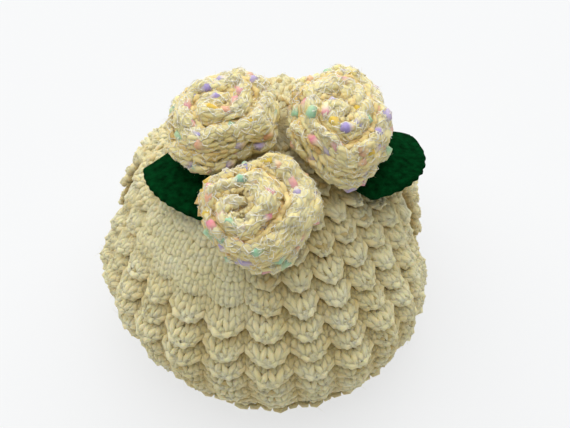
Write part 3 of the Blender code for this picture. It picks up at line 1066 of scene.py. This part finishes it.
@dataclass
class Flower:
    """A strip of flecked stitches rolled up into a flower and sewn on by its foot."""

    dome: DomeShape
    leaves: Sequence[Leaf]
    x: float
    y: float
    lean_degrees: float
    towards_degrees: float
    reach_x: float
    reach_y: float
    height: float
    seed: int
    shift_x: float = 0.0
    shift_y: float = 0.0
    tuck: float = 0.0
    turns: float = 2.4
    lip_depth: float = 4.6 * MM
    ruffle: float = 1.3 * MM
    fine_ruffle: float = 0.7 * MM
    rim_share: float = 0.40
    fullness: float = 2.7
    longer: float = 0.0
    longer_towards: float = math.radians(52.0)
    longer_sharpness: int = 5
    corner: float = 1.3 * MM
    foot_radius: float = 10.0 * MM
    foot_gap: float = 0.4 * MM
    petal_gap: float = 3.2 * MM
    flower_gap: float = 0.3 * MM
    least_petal: float = 4.5 * MM
    droop: float = 0.8
    probe_depth: float = 22.0 * MM
    probe_step: float = 0.25 * MM
    rim_steps: int = 144
    rim_inside: float = 0.97
    lip_roundness: float = 0.72
    border_heights: tuple[float, float] = (2.0 * MM, 12.0 * MM)
    leaf_margin: float = 4.0 * MM
    yarn_radius: float = 1.32 * MM
    yarn_sides: int = 5
    row_height: float = 3.9 * MM
    stitch_width: float = 3.1 * MM
    edge: float = 0.02
    least_width: float = 0.22
    wrap: float = 0.44
    wrap_inwards: float = 0.20
    wrap_height: float = 1.2 * MM
    rim_turn: tuple[float, float] = (0.86, 1.02)
    plain_turn: tuple[float, float] = (0.78, 0.98)
    rim_crease: float = 0.5
    uplift: float = 0.25
    sway: tuple[float, float] = (0.04, 0.03)
    core_under: float = 2.6 * MM
    core_under_rim: float = 1.8 * MM
    core_turn: tuple[float, float] = (0.82, 1.0)
    core_wrap: float = 0.80
    core_start: float = 0.03
    foot_rings: tuple[float, float] = (1.3, 1.0)
    selvedge_start: float = 0.75
    selvedge_steps: int = 300
    selvedge_swing: float = 0.05
    selvedge_waves: int = 14
    selvedge_scatter: float = 0.15 * MM
    # share of painted shade on the selvedge at the bottom of the creases
    selvedge_shade: float = 0.4
    selvedge_lift: float = 0.4 * MM
    uneven: Unevenness = Unevenness(0.08, 0.14, 0.70 * MM, 0.09)
    softening: int = 7
    first_turn: float = 0.04
    last_turn: float = 0.3
    guide_steps: int = 700
    bedding: float = 0.6
    # painted shade in the creases: its most, how fast it falls off over the lips, and how much of it the rim
    # loses
    crease_shade_most: float = 0.92
    crease_shade_fall: float = 1.25
    rim_paler: float = 0.7
    core_sides: int = 96
    core_rings: int = 42
    sole_share: float = 0.64
    sole_step: float = 0.02
    strand_radius: float = 0.19 * MM
    strand_sides: int = 3
    strand_steps: int = 2
    strand_turn: float = 6.0 * MM
    strand_away: float = 1.0
    strand_loose: float = 0.25
    strand_softening: int = 9
    strand_least: float = 1e-9
    loop: LoopShape = field(default_factory=lambda: LoopShape(0.24, 0.80, 1.0 * MM, 9))

    def __post_init__(self) -> None:
        """Works out the flower's own directions."""
        lean, towards = math.radians(self.lean_degrees), math.radians(self.towards_degrees)
        self.axis = np.array(
            (math.sin(lean) * math.cos(towards), math.sin(lean) * math.sin(towards), math.cos(lean)))
        self.foot = np.array((self.x, self.y, float(self.dome.height_over(math.hypot(self.x, self.y)))))
        self.right = unit(np.cross((0.0, 1.0, 0.0), self.axis))
        self.up = np.cross(self.axis, self.right)
        self.others: list[Flower] = []

    def middle(self) -> np.ndarray:
        """The middle of the flower's body."""
        return self.foot + self.axis * self.height * 0.5

    def place(self, angle: np.ndarray, distance: np.ndarray, height: np.ndarray) -> np.ndarray:
        """Points of the flower's own round frame."""
        angle, distance, height = np.broadcast_arrays(angle, distance, height)
        spoke = self.right * np.cos(angle)[..., None] + self.up * np.sin(angle)[..., None]
        return self.foot + spoke * distance[..., None] + self.axis * height[..., None]

    def outline(self, angle: np.ndarray) -> np.ndarray:
        """Reach of the outer petals, kept off the neighbouring flowers."""
        reach = 1 / np.hypot(np.cos(angle) / self.reach_x, np.sin(angle) / self.reach_y)
        wide, narrow = self.sway
        reach = reach * (1 + wide * np.sin(3 * angle + self.foot[0] * 90) + narrow * np.sin(5 * angle + 1.3))
        reach = reach * (1 - self.tuck * np.clip(np.cos(angle), 0.0, 1.0) ** 2)
        corner = np.clip(np.cos(angle - self.longer_towards), 0.0, 1.0)
        reach = reach * (1 + self.longer * corner ** self.longer_sharpness)
        limits = [np.full(np.shape(angle), np.inf)]
        for other in self.others:
            apart = unit(other.middle() - self.middle())
            share = self.reach_x / (self.reach_x + other.reach_x)
            border = self.middle() + (other.middle() - self.middle()) * share
            for height in self.border_heights:
                start = (border - self.place(angle, 0.0, height)) @ apart - self.flower_gap
                spoke = (self.place(angle, 1.0, height) - self.place(angle, 0.0, height)) @ apart
                limits.append(np.where(spoke > TINY, start / np.maximum(spoke, TINY), np.inf))
        soft = np.exp(-reach / self.corner)
        for limit in limits:
            soft = soft + np.exp(-limit / self.corner)
        return np.minimum(-self.corner * np.log(soft), reach)

    def underside(self, angle: np.ndarray, distance: np.ndarray) -> np.ndarray:
        """Lowest height along the axis that is clear of what lies under the flower."""
        steps = np.arange(-self.probe_depth, self.height, self.probe_step)
        angle, distance = np.broadcast_arrays(angle, distance)
        points = self.place(angle[..., None], distance[..., None], steps)
        gap = np.where(distance <= self.foot_radius, self.foot_gap, self.petal_gap)[..., None]
        x, y, z = points[..., 0], points[..., 1], points[..., 2]
        clear = z >= self.dome.height_over(np.hypot(x, y)) + gap
        for leaf in self.leaves:
            top = leaf.height(x, y) + leaf.felt + 2 * leaf.gap
            clear &= ~(leaf.covers(x, y, self.leaf_margin) & (z < top))
        return steps[np.argmax(clear, axis=-1)]

    def read_rim(self) -> None:
        """Reads the outline and the underside round the rim once the neighbours are known."""
        self.rim_angles = np.linspace(0.0, 2 * math.pi, self.rim_steps + 1)
        self.rim_reach = self.outline(self.rim_angles)
        under = self.underside(self.rim_angles, self.rim_reach * self.rim_inside)
        padded = np.concatenate([under[-3:-1], under, under[1:3]])
        self.rim_under = np.convolve(padded, np.ones(5) / 5, "valid")

    def around(self, table: np.ndarray, angle: np.ndarray) -> np.ndarray:
        """Reads a table that goes round the rim."""
        return np.interp(np.mod(angle, 2 * math.pi), self.rim_angles, table)

    def share(self, turn: np.ndarray, across: np.ndarray) -> np.ndarray:
        """Share of the way from the middle of the spiral to its rim, more than 1 past the rim."""
        return (turn + across - 0.5) / self.turns

    def lobe(self, across: np.ndarray) -> np.ndarray:
        """Roundness of the rolled strip's lip, across one turn."""
        return np.sin(math.pi * np.clip(across, 0.0, 1.0)) ** self.lip_roundness

    def surface(self, turn: np.ndarray, across: np.ndarray, creased: float = 1.0) -> np.ndarray:
        """Points of the rolled strip. Past the rim its creases go inwards instead of down.

        Args:
            turn: Places along the strip, in turns from the middle.
            across: Places across it, from its inner crease to its outer one.
            creased: How much of its creases is kept.

        Returns:
            The points, round the crown's axis.
        """
        angle = 2 * math.pi * turn
        share = np.clip(self.share(turn, across), 0.0, 1.0 + self.wrap)
        inner = np.minimum(share, 1.0)
        past = (share - inner) / self.wrap
        reach = self.around(self.rim_reach, angle)
        low = self.around(self.rim_under, angle)
        round_over = np.sqrt(np.clip(1 - inner ** self.fullness, 0.0, None))
        dome = self.height * (self.rim_share + (1 - self.rim_share) * round_over)
        fade = np.clip(inner * 3, 0.0, 1.0)
        crease = self.lip_depth * (1 - self.lobe(across)) * fade + self.lip_depth / 2 * (1 - fade)
        crease = crease * creased
        sideways = eased(*self.rim_turn, share)
        frill = self.ruffle * np.sin(5 * angle + 7 * inner + self.seed) * inner
        frill = frill + self.fine_ruffle * np.sin(11 * angle - 9 * inner) * inner
        sag = self.droop * np.minimum(low, 0.0) * inner ** 3
        top = dome - crease * (1 - sideways) + frill + sag
        top = np.maximum(top, low + self.least_petal)
        height = top + (low + self.wrap_height - top) * past
        distance = reach * (inner - self.wrap_inwards * past ** 2) - crease * self.rim_crease * sideways
        drift = np.clip(1 - inner ** 2, 0.0, 1.0)[..., None]
        drift = drift * (self.right * self.shift_x + self.up * self.shift_y)
        return self.place(angle, distance, height) + drift

    def facing(self, turn: np.ndarray, across: np.ndarray, creased: float) -> np.ndarray:
        """Unit normals of the rolled strip with some or all of its creases."""
        dt, da = 0.01, 0.04
        along = self.surface(turn + dt, across, creased) - self.surface(turn - dt, across, creased)
        aside = self.surface(turn, across + da, creased) - self.surface(turn, across - da, creased)
        return unit(np.cross(aside, along))

    def outward(self, turn: np.ndarray, across: np.ndarray) -> np.ndarray:
        """The way that the stitches stand out: over the lips on top, and straight out past the rim."""
        plain = eased(*self.plain_turn, self.share(turn, across))[..., None]
        normal = self.facing(turn, across, 1.0) * (1 - plain) + self.facing(turn, across, 0.0) * plain
        return unit(normal + self.axis * self.uplift)

    def yarn(self, flecks: "FleckBag") -> YarnLine:
        """The strip's stitches as one yarn, worked back and forth across the strip.

        Args:
            flecks: Where the coloured flecks come from.

        Returns:
            The yarn, from the middle of the flower outwards.
        """
        chance = np.random.default_rng(self.seed)
        end = self.turns * (1 + self.wrap)
        guide = np.linspace(2 * self.first_turn, end + self.last_turn, self.guide_steps)
        lengths = lengths_along(self.surface(guide, np.full(self.guide_steps, 0.5)))
        lines = []
        for row in range(int(lengths[-1] / self.row_height)):
            here = float(np.interp((row + 0.5) * self.row_height, lengths, guide))
            first = max(self.edge, 0.5 + self.first_turn - here)
            last = min(1 - self.edge, end - here + 0.5)
            if last - first < self.least_width:
                continue
            slope = self.surface(np.full(40, here), np.linspace(first, last, 40))
            count = max(1, round(float(lengths_along(slope)[-1]) / self.stitch_width))
            along, across, front, _ = self.loop.path(count)
            stitch = np.minimum(np.arange(len(along)) // self.loop.points, count - 1)
            sway, swing, rise = (
                softened(chance.normal(0.0, spread, count)[stitch], self.softening)
                for spread in (self.uneven.place, self.uneven.reach, self.uneven.lift)
            )
            step = row + 0.5 + across * (1 + swing)
            turn = np.interp(step * self.row_height, lengths, guide)
            q = np.clip(first + (last - first) * (along + sway) / count, first, last)
            lift = self.loop.relief * front + rise
            centre = self.yarn_radius + self.loop.relief * self.bedding
            points = self.surface(turn, q) + self.outward(turn, q) * (lift - centre)[:, None]
            thick = 1 + chance.normal(0.0, self.uneven.thick, len(along))
            # Painted shade: most in the creases between the lips, less over the lips and on the rim.
            hollow_shade = np.clip(self.crease_shade_most - self.lobe(q) * self.crease_shade_fall, 0.0, 1.0)
            hollow_shade = hollow_shade * (1 - self.rim_paler * eased(*self.rim_turn, self.share(turn, q)))
            lines.append(YarnLine(points, thick, hollow_shade))
        whole = joined(lines)
        whole.fleck, whole.tint = flecks.scatter(whole.points, chance)
        whole.thick = whole.thick + flecks.swelling * whole.fleck
        return whole

    def selvedge(self) -> YarnLine:
        """The yarn along the strip's own edges, which meet at the bottom of the creases."""
        chance = np.random.default_rng(self.seed + 200)
        turn = np.linspace(self.selvedge_start, self.turns, self.selvedge_steps)
        across = self.selvedge_swing * np.sin(turn * 2 * math.pi * self.selvedge_waves)
        points = self.surface(turn, np.clip(across, 0.0, 1.0)) + self.axis * self.selvedge_lift
        points = points + chance.normal(0.0, self.selvedge_scatter, points.shape)
        size = np.ones(len(turn))
        # The selvedge takes painted shade, lying at the bottom of the creases.
        return YarnLine(points, size, size * self.selvedge_shade, size * 0.0, np.ones((len(turn), 4)))

    def strand(self, yarn: YarnLine) -> YarnLine:
        """The thin shiny strand that winds loosely round the yarn.

        Args:
            yarn: The yarn that it runs with.

        Returns:
            The strand's line.
        """
        chance = np.random.default_rng(self.seed + 100)
        line = smooth_line(yarn.points, self.strand_steps)
        along = unit(np.gradient(line, axis=0), self.strand_least)
        aside = unit(np.cross(along, self.axis), self.strand_least)
        over = np.cross(aside, along)
        around = lengths_along(line) * 2 * math.pi / self.strand_turn
        loose = softened(np.abs(chance.normal(0.0, 1.0, len(around))), self.strand_softening)
        away = self.yarn_radius * (self.strand_away + self.strand_loose * loose)[:, None]
        offset = aside * np.sin(around)[:, None] * away + over * np.abs(np.cos(around))[:, None] * away
        size = np.ones(len(around))
        return YarnLine(line + offset, size, size * 0.0)

    def core(self, name: str, finish: bpy.types.Material) -> bpy.types.Object:
        """The rolled strip behind the stitches, closed down to its foot.

        Args:
            name: The piece's name.
            finish: Its material.

        Returns:
            The piece.
        """
        sides = self.core_sides
        angle = np.linspace(0.0, 2 * math.pi, sides, endpoint=False)
        reach = self.around(self.rim_reach, angle)
        spoke = self.place(angle, np.ones(sides), np.zeros(sides)) - self.foot
        grid = []
        for share in np.linspace(self.core_start, 1.0 + self.wrap * self.core_wrap, self.core_rings):
            q = np.mod(self.turns * share - angle / (2 * math.pi) + 0.5, 1.0)
            turn = self.turns * share - q + 0.5
            side = float(eased(*self.core_turn, np.array(share)))
            inset = self.core_under + self.core_under_rim * side
            out = self.outward(turn, q) * (1 - side) + spoke * side
            grid.append(self.surface(turn, q) - out * inset)
        under = self.underside(angle, reach * (self.sole_share + self.sole_step))
        grid.append(self.place(angle, reach * (self.sole_share - self.sole_step), under + self.flower_gap))
        for share in self.foot_rings:
            distance = np.full(sides, self.foot_radius * share)
            grid.append(self.place(angle, distance, self.underside(angle, distance)))
        return closed_round(name, np.array(grid), finish)


def closed_round(name: str, rings: np.ndarray, finish: bpy.types.Material) -> bpy.types.Object:
    """A closed body from rings of points, with a point at each end.

    Args:
        name: The piece's name.
        rings: The rings, one to a row.
        finish: Its material.

    Returns:
        The piece, facing outwards.
    """
    mesh = bmesh.new()
    verts = [[mesh.verts.new(point) for point in ring + MIDDLE] for ring in rings]
    first = mesh.verts.new(rings[0].mean(axis=0) + MIDDLE)
    last = mesh.verts.new(rings[-1].mean(axis=0) + MIDDLE)
    sides = len(verts[0])
    for i in range(sides):
        j = (i + 1) % sides
        mesh.faces.new((first, verts[0][i], verts[0][j]))
        mesh.faces.new((last, verts[-1][j], verts[-1][i]))
        for a, b in zip(verts, verts[1:]):
            mesh.faces.new((a[i], b[i], b[j], a[j]))
    return closed(bpy.data.meshes.new(name), mesh, finish)


@dataclass(frozen=True)
class FleckBag:
    """The pastel flecks spun into the flowers' yarn."""

    spacing: float = 105.0 * MM
    length: float = 5.4 * MM
    swelling: float = 0.7
    fullness: float = 1.35
    strays: tuple[float, float] = (0.5, 1.5)
    colours: tuple[Colour, ...] = (
        (0.80, 0.27, 0.36, 1.0),
        (0.82, 0.36, 0.40, 1.0),
        (0.38, 0.32, 0.64, 1.0),
        (0.46, 0.40, 0.70, 1.0),
        (0.34, 0.62, 0.42, 1.0),
        (0.76, 0.50, 0.06, 1.0),
        (0.82, 0.42, 0.28, 1.0),
    )

    def scatter(self, points: np.ndarray, chance: np.random.Generator) -> tuple[np.ndarray, np.ndarray]:
        """Picks where the flecks of a yarn are.

        Args:
            points: The yarn's middle line.
            chance: Where the places and colours come from.

        Returns:
            How much of a fleck each point is, and its colour.
        """
        run = lengths_along(points)
        fleck = np.zeros(len(points))
        tint = np.ones((len(points), 4))
        at = chance.uniform(0.0, self.spacing)
        while at < run[-1]:
            share = np.clip(self.fullness - np.abs(run - at) / (self.length * 0.5), 0.0, 1.0)
            fleck = np.maximum(fleck, share)
            tint[share > 0] = self.colours[int(chance.integers(len(self.colours)))]
            at += self.spacing * chance.uniform(*self.strays)
        return fleck, tint


@dataclass(frozen=True)
class Fuzz:
    """Loose fibres that stand off the yarn."""

    count: int
    shortest: float = 1.4 * MM
    longest: float = 4.4 * MM
    curl: float = 0.9
    lean_first: float = 0.5
    rise_last: float = 0.4
    wildness: float = 0.5
    buried: float = 0.6
    half: float = 0.45
    radius: float = 0.06 * MM
    sides: int = 3
    thinning: tuple[float, float, float] = (1.0, 0.75, 0.3)

    def lines(self, yarn: YarnLine, yarn_radius: float, seed: int) -> list[YarnLine]:
        """Picks fibres along a yarn.

        Args:
            yarn: The yarn that they come out of.
            yarn_radius: Its radius.
            seed: What fixes where they are.

        Returns:
            One short curved line to a fibre.
        """
        chance = np.random.default_rng(seed)
        at = chance.integers(1, len(yarn.points) - 1, self.count)
        root = yarn.points[at]
        run = unit(yarn.points[at + 1] - yarn.points[at - 1])
        first = chance.normal(0.0, 1.0, (self.count, 3))
        first = unit(first - run * np.sum(first * run, axis=1, keepdims=True))
        lean = run * chance.choice([-1.0, 1.0], (self.count, 1))
        bend = chance.normal(0.0, 1.0, (self.count, 3)) * self.wildness
        length = chance.uniform(self.shortest, self.longest, (self.count, 1))
        start = root + first * yarn_radius * self.buried
        middle = start + (first + lean * self.lean_first) * length * self.half
        end = middle + (first * self.rise_last + lean * self.curl + bend) * length * self.half
        points = np.stack([start, middle, end], axis=1)
        points[..., 2] = np.maximum(points[..., 2], self.radius + TABLE_CLEARANCE)
        thick = np.array(self.thinning)
        # Each fibre takes the painted shade of the yarn at its root.
        return [YarnLine(line, thick, np.full(3, hollow_shade)) for line, hollow_shade in zip(points, yarn.hollow_shade[at])]


# Seams


@dataclass
class SideSeam:
    """Whip stitches that sew the panels together above and below a slot."""

    front: Panel
    back: Panel
    pleat_place: float
    tiers: Sequence[float]
    radius: float = 1.0 * MM
    bulge: float = 1.2 * MM
    slant: float = 0.35
    points: int = 9
    sides: int = 6
    # share of painted shade on the seam's yarn
    hollow_shade: float = 0.35

    def lines(self) -> list[YarnLine]:
        """The stitches, each a short slanted loop over the seam."""
        made = []
        for tier in self.tiers:
            start = self.front.surface(np.array(self.pleat_place), np.array(tier))
            end = self.back.surface(np.array(self.pleat_place), np.array(tier + self.slant))
            share = np.linspace(0.0, 1.0, self.points)[:, None]
            out = unit((start + end) / 2 * (1.0, 1.0, 0.0))
            points = start + (end - start) * share + out * self.bulge * np.sin(math.pi * share)
            made.append(YarnLine(points, np.ones(self.points), np.full(self.points, self.hollow_shade)))
        return made


# Studio


@dataclass
class Studio:
    """The pale floor, the soft lights and the camera of the photograph's view."""

    focal: float = 700.0
    frame_width: int = 570
    centre_x: float = -11.4
    centre_y: float = 9.1
    elevation: float = math.radians(53.3)
    roll: float = math.radians(2.24)
    azimuth: float = math.radians(8.0)
    distance: float = 0.3630
    aim: tuple[float, float, float] = (0.0037, -0.0003, 0.055)
    key_from: tuple[float, float, float] = (-0.14, 0.38, 0.92)
    key_spread: float = math.radians(106.0)
    key_strength: float = 3.80
    key_colour: tuple[float, float, float] = (1.0, 0.995, 0.98)
    sky_colour: Colour = (0.97, 0.98, 1.0, 1.0)
    sky_strength: float = 0.20
    floor_half: float = 3.0
    floor_colour: Colour = (0.22, 0.222, 0.225, 1.0)
    floor_glow: Colour = (0.98, 0.99, 1.0, 1.0)
    floor_glow_strength: float = 0.66

    def camera(self) -> None:
        """Places the camera."""
        e, phi = self.elevation, self.azimuth
        back = Vector((math.sin(phi) * math.cos(e), -math.cos(phi) * math.cos(e), math.sin(e)))
        right = Vector((math.cos(phi), math.sin(phi), 0.0))
        up = back.cross(right)
        turned_right = right * math.cos(self.roll) - up * math.sin(self.roll)
        turned_up = right * math.sin(self.roll) + up * math.cos(self.roll)
        data = bpy.data.cameras.new("camera")
        data.sensor_width = 36.0
        data.lens = self.focal * data.sensor_width / self.frame_width
        data.shift_x = -self.centre_x / self.frame_width
        data.shift_y = self.centre_y / self.frame_width
        made = placed("camera", data)
        matrix = Matrix((turned_right, turned_up, back)).transposed().to_4x4()
        matrix.translation = Vector(self.aim) + back * self.distance
        made.matrix_world = matrix
        bpy.context.scene.camera = made

    def light(self) -> None:
        """Adds the soft, distant key light and the world's even light."""
        data = bpy.data.lights.new("key", "SUN")
        data.angle = self.key_spread
        data.energy = self.key_strength
        data.color = self.key_colour
        made = placed("key", data)
        made.rotation_euler = (-Vector(self.key_from)).to_track_quat("-Z", "Y").to_euler()
        world = bpy.data.worlds.new("studio")
        world.use_nodes = True
        fix(world.node_tree.nodes["Background"], Color=self.sky_colour, Strength=self.sky_strength)
        bpy.context.scene.world = world

    def floor(self) -> None:
        """Adds the pale floor."""
        side = self.floor_half
        data = bpy.data.meshes.new("floor")
        corners = [(-side, -side, 0.0), (side, -side, 0.0), (side, side, 0.0), (-side, side, 0.0)]
        data.from_pydata(corners, [], [(0, 1, 2, 3)])
        made = placed("floor", data)
        paint = bpy.data.materials.new("pale_floor")
        paint.use_nodes = True
        fix(paint.node_tree.nodes["Principled BSDF"], Base_Color=self.floor_colour,
            Emission_Color=self.floor_glow, Emission_Strength=self.floor_glow_strength,
            Roughness=0.9, Specular_IOR_Level=0.1)
        data.materials.append(paint)

    def build(self) -> None:
        """Sets up the camera, the lights and the floor, with plain colours in the picture."""
        self.camera()
        self.light()
        self.floor()
        bpy.context.scene.view_settings.view_transform = "Standard"


@dataclass
class Finishes:
    """The materials of the cosy, built once."""

    knit: bpy.types.Material
    cloth: bpy.types.Material
    flecked: bpy.types.Material
    core: bpy.types.Material
    gloss: bpy.types.Material
    felt: bpy.types.Material

    @classmethod
    def build(cls) -> "Finishes":
        """Makes every material."""
        return cls(
            # The third colour of each yarn is its painted shade in recesses and creases.
            knit=YarnFinish(
                "cream_wool", (0.86, 0.79, 0.51, 1.0), (0.76, 0.67, 0.38, 1.0), (0.46, 0.32, 0.10, 1.0),
            ).build(),
            # The cloth's browns are painted shade in the holes between the stitches.
            cloth=ClothFinish("cloth_in_painted_shade", (0.46, 0.34, 0.15, 1.0), (0.60, 0.50, 0.27, 1.0)).build(),
            flecked=YarnFinish(
                "flecked_wool", (0.96, 0.84, 0.46, 1.0), (0.84, 0.68, 0.31, 1.0), (0.60, 0.28, 0.05, 1.0),
                plies=2, twist_length=4.0 * MM, roughness=0.7, sheen=0.4, flecked=True,
            ).build(),
            # The strip's tan browns are painted shade in the creases between the flower's stitches.
            core=ClothFinish("rolled_strip_in_painted_shade", (0.58, 0.40, 0.17, 1.0), (0.72, 0.56, 0.28, 1.0)).build(),
            gloss=GlossFinish("white_strand", (0.98, 0.94, 0.78, 1.0)).build(),
            felt=FeltFinish("green_felt", (0.001, 0.054, 0.012, 1.0), (0.0002, 0.010, 0.0018, 1.0)).build(),
        )


class Slot(Enum):
    """The record's material slots."""

    KNIT = "cream_knit"
    FLECKED = "flecked_yarn"
    FELT = "green_felt"


def settle(piece: bpy.types.Object, replaced: str | None = None) -> None:
    """Lets a piece ride on the cosy's body and reports it.

    Args:
        piece: The finished piece.
        replaced: The solid that it stands for, if any.
    """
    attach(piece, "root")
    if replaced:
        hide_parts(replaced)
    triangles = sum(len(face.vertices) - 2 for face in piece.data.polygons)
    LOG.info("%s: %d triangles", piece.name, triangles)


@dataclass
class Cosy:
    """The whole tea cosy."""

    finishes: Finishes
    spinner: YarnSpinner
    dome: DomeShape = field(default_factory=DomeShape)
    upper_from: int = 7
    flower_fibres: int = 900
    fibre_seed: int = 50

    def add_yarn(self, name: str, lines: Iterable[YarnLine], radius: float, sides: int,
                 finish: bpy.types.Material) -> bpy.types.Object:
        """Spins a piece of yarn of a radius and a number of sides, and settles it."""
        piece = self.spinner.spin(name, lines, radius, sides, finish)
        settle(piece)
        return piece

    def add_fuzz(self, name: str, count: int, yarn: YarnLine, yarn_radius: float, seed: int) -> bpy.types.Object:
        """Adds so many loose fibres along a yarn."""
        fuzz = Fuzz(count)
        lines = fuzz.lines(yarn, yarn_radius, seed)
        return self.add_yarn(name, lines, fuzz.radius, fuzz.sides, self.finishes.knit)

    def panels(self) -> dict[str, Panel]:
        """Builds both panels with their cloth and stitches, and returns them by node name."""
        panels = {
            "front_panel": Panel(self.dome, Facing.FRONT, 11, 0.22, 5000, loop=LoopShape(points=12)),
            "back_panel": Panel(self.dome, Facing.BACK, 23, 0.0, 1500, loop=LoopShape(points=8)),
        }
        for node, panel in panels.items():
            chance = np.random.default_rng(panel.seed)
            cloth = panel.cloth(node.replace("panel", "cloth"), self.finishes.cloth)
            yarns = []
            halves = (("lower", 0, self.upper_from), ("upper", self.upper_from, panel.tiers))
            for part, first, last in halves:
                yarn = panel.knitting(first, last, chance)
                yarns.append(yarn)
                self.add_yarn(
                    node.replace("panel", part + "_stitches"), [yarn], panel.yarn_radius,
                    panel.yarn_sides, self.finishes.knit)
            self.add_fuzz(
                node.replace("panel", "fuzz"), panel.fibres, joined(yarns), panel.yarn_radius,
                panel.seed + self.fibre_seed)
            settle(cloth, node)
        return panels

    def seams(self, panels: dict[str, Panel]) -> None:
        """Sews the panels together at the sides."""
        front, back = panels["front_panel"], panels["back_panel"]
        sides = (
            ("handle_seam", 0.12, (0.4, 1.1, 8.6, 9.3, 10.0, 10.7)),
            ("spout_seam", 12.88, (0.4, 1.1, 1.8, 8.8, 9.5, 10.2, 10.9)),
        )
        for name, place, tiers in sides:
            seam = SideSeam(front, back, place, tiers)
            self.add_yarn(name, seam.lines(), seam.radius, seam.sides, self.finishes.knit)

    def leaves(self) -> dict[str, Leaf]:
        """Builds the leaves, and returns them by node name."""
        leaves = {
            "leaf_left": Leaf(
                self.dome, -19.5 * MM, -41.4 * MM, -48.2 * MM, -16.6 * MM, 115.6 * MM, 26.9 * MM, 0.12),
            "leaf_right": Leaf(
                self.dome, 38.7 * MM, -24.5 * MM, 63.2 * MM, 13.5 * MM, 109.5 * MM, 36.0 * MM, 0.0),
        }
        for node, leaf in leaves.items():
            piece = leaf.build(node.replace("leaf", "felt"), self.finishes.felt)
            settle(piece, node)
            width, length, area = leaf.flat()
        return leaves

    def flowers(self, leaves: Sequence[Leaf]) -> None:
        """Builds the three flowers."""
        rows = {
            # plan x, plan y, lean, lean direction, reach along x, along y, height, seed, shift of
            # the spiral's middle along x, along y, tuck of the handle side, longer corner petal
            "flower_left": (-15.5, -10.5, 8.0, -142.0, 25.5, 25.5, 25.0, 5, -1.0, 1.5, 0.0, 0.0),
            "flower_right": (27.5, -6.5, 13.0, -10.0, 25.0, 29.0, 27.0, 7, -3.0, -5.0, 0.16, 0.17),
            "flower_front": (1.5, -41.0, 22.0, -88.0, 24.0, 25.5, 24.0, 9, -9.0, -5.0, 0.0, 0.0),
        }
        made = {
            node: Flower(self.dome, leaves, x * MM, y * MM, lean, towards, rx * MM, ry * MM, h * MM, seed,
                         shift_x=sx * MM, shift_y=sy * MM, tuck=tuck, longer=longer)
            for node, (x, y, lean, towards, rx, ry, h, seed, sx, sy, tuck, longer) in rows.items()
        }
        flecks = FleckBag()
        for node, flower in made.items():
            flower.others = [other for other in made.values() if other is not flower]
            flower.read_rim()
            yarn = flower.yarn(flecks)
            self.add_yarn(
                node.replace("flower", "petals"), [yarn, flower.selvedge()], flower.yarn_radius,
                flower.yarn_sides, self.finishes.flecked)
            self.add_yarn(
                node.replace("flower", "strands"), [flower.strand(yarn)], flower.strand_radius,
                flower.strand_sides, self.finishes.gloss)
            self.add_fuzz(
                node.replace("flower", "petal_fuzz"), self.flower_fibres, yarn, flower.yarn_radius,
                flower.seed + self.fibre_seed)
            core = flower.core(node.replace("flower", "strip"), self.finishes.core)
            settle(core, node)


def main() -> None:
    """Builds the finishes, the panels, the seams, the leaves, the flowers and the studio."""
    logging.basicConfig(level=logging.INFO, format="%(name)s %(message)s")
    Studio().build()
    cosy = Cosy(Finishes.build(), YarnSpinner())
    panels = cosy.panels()
    cosy.seams(panels)
    leaves = cosy.leaves()
    cosy.flowers(list(leaves.values()))


if __name__ == "__main__":
    main()
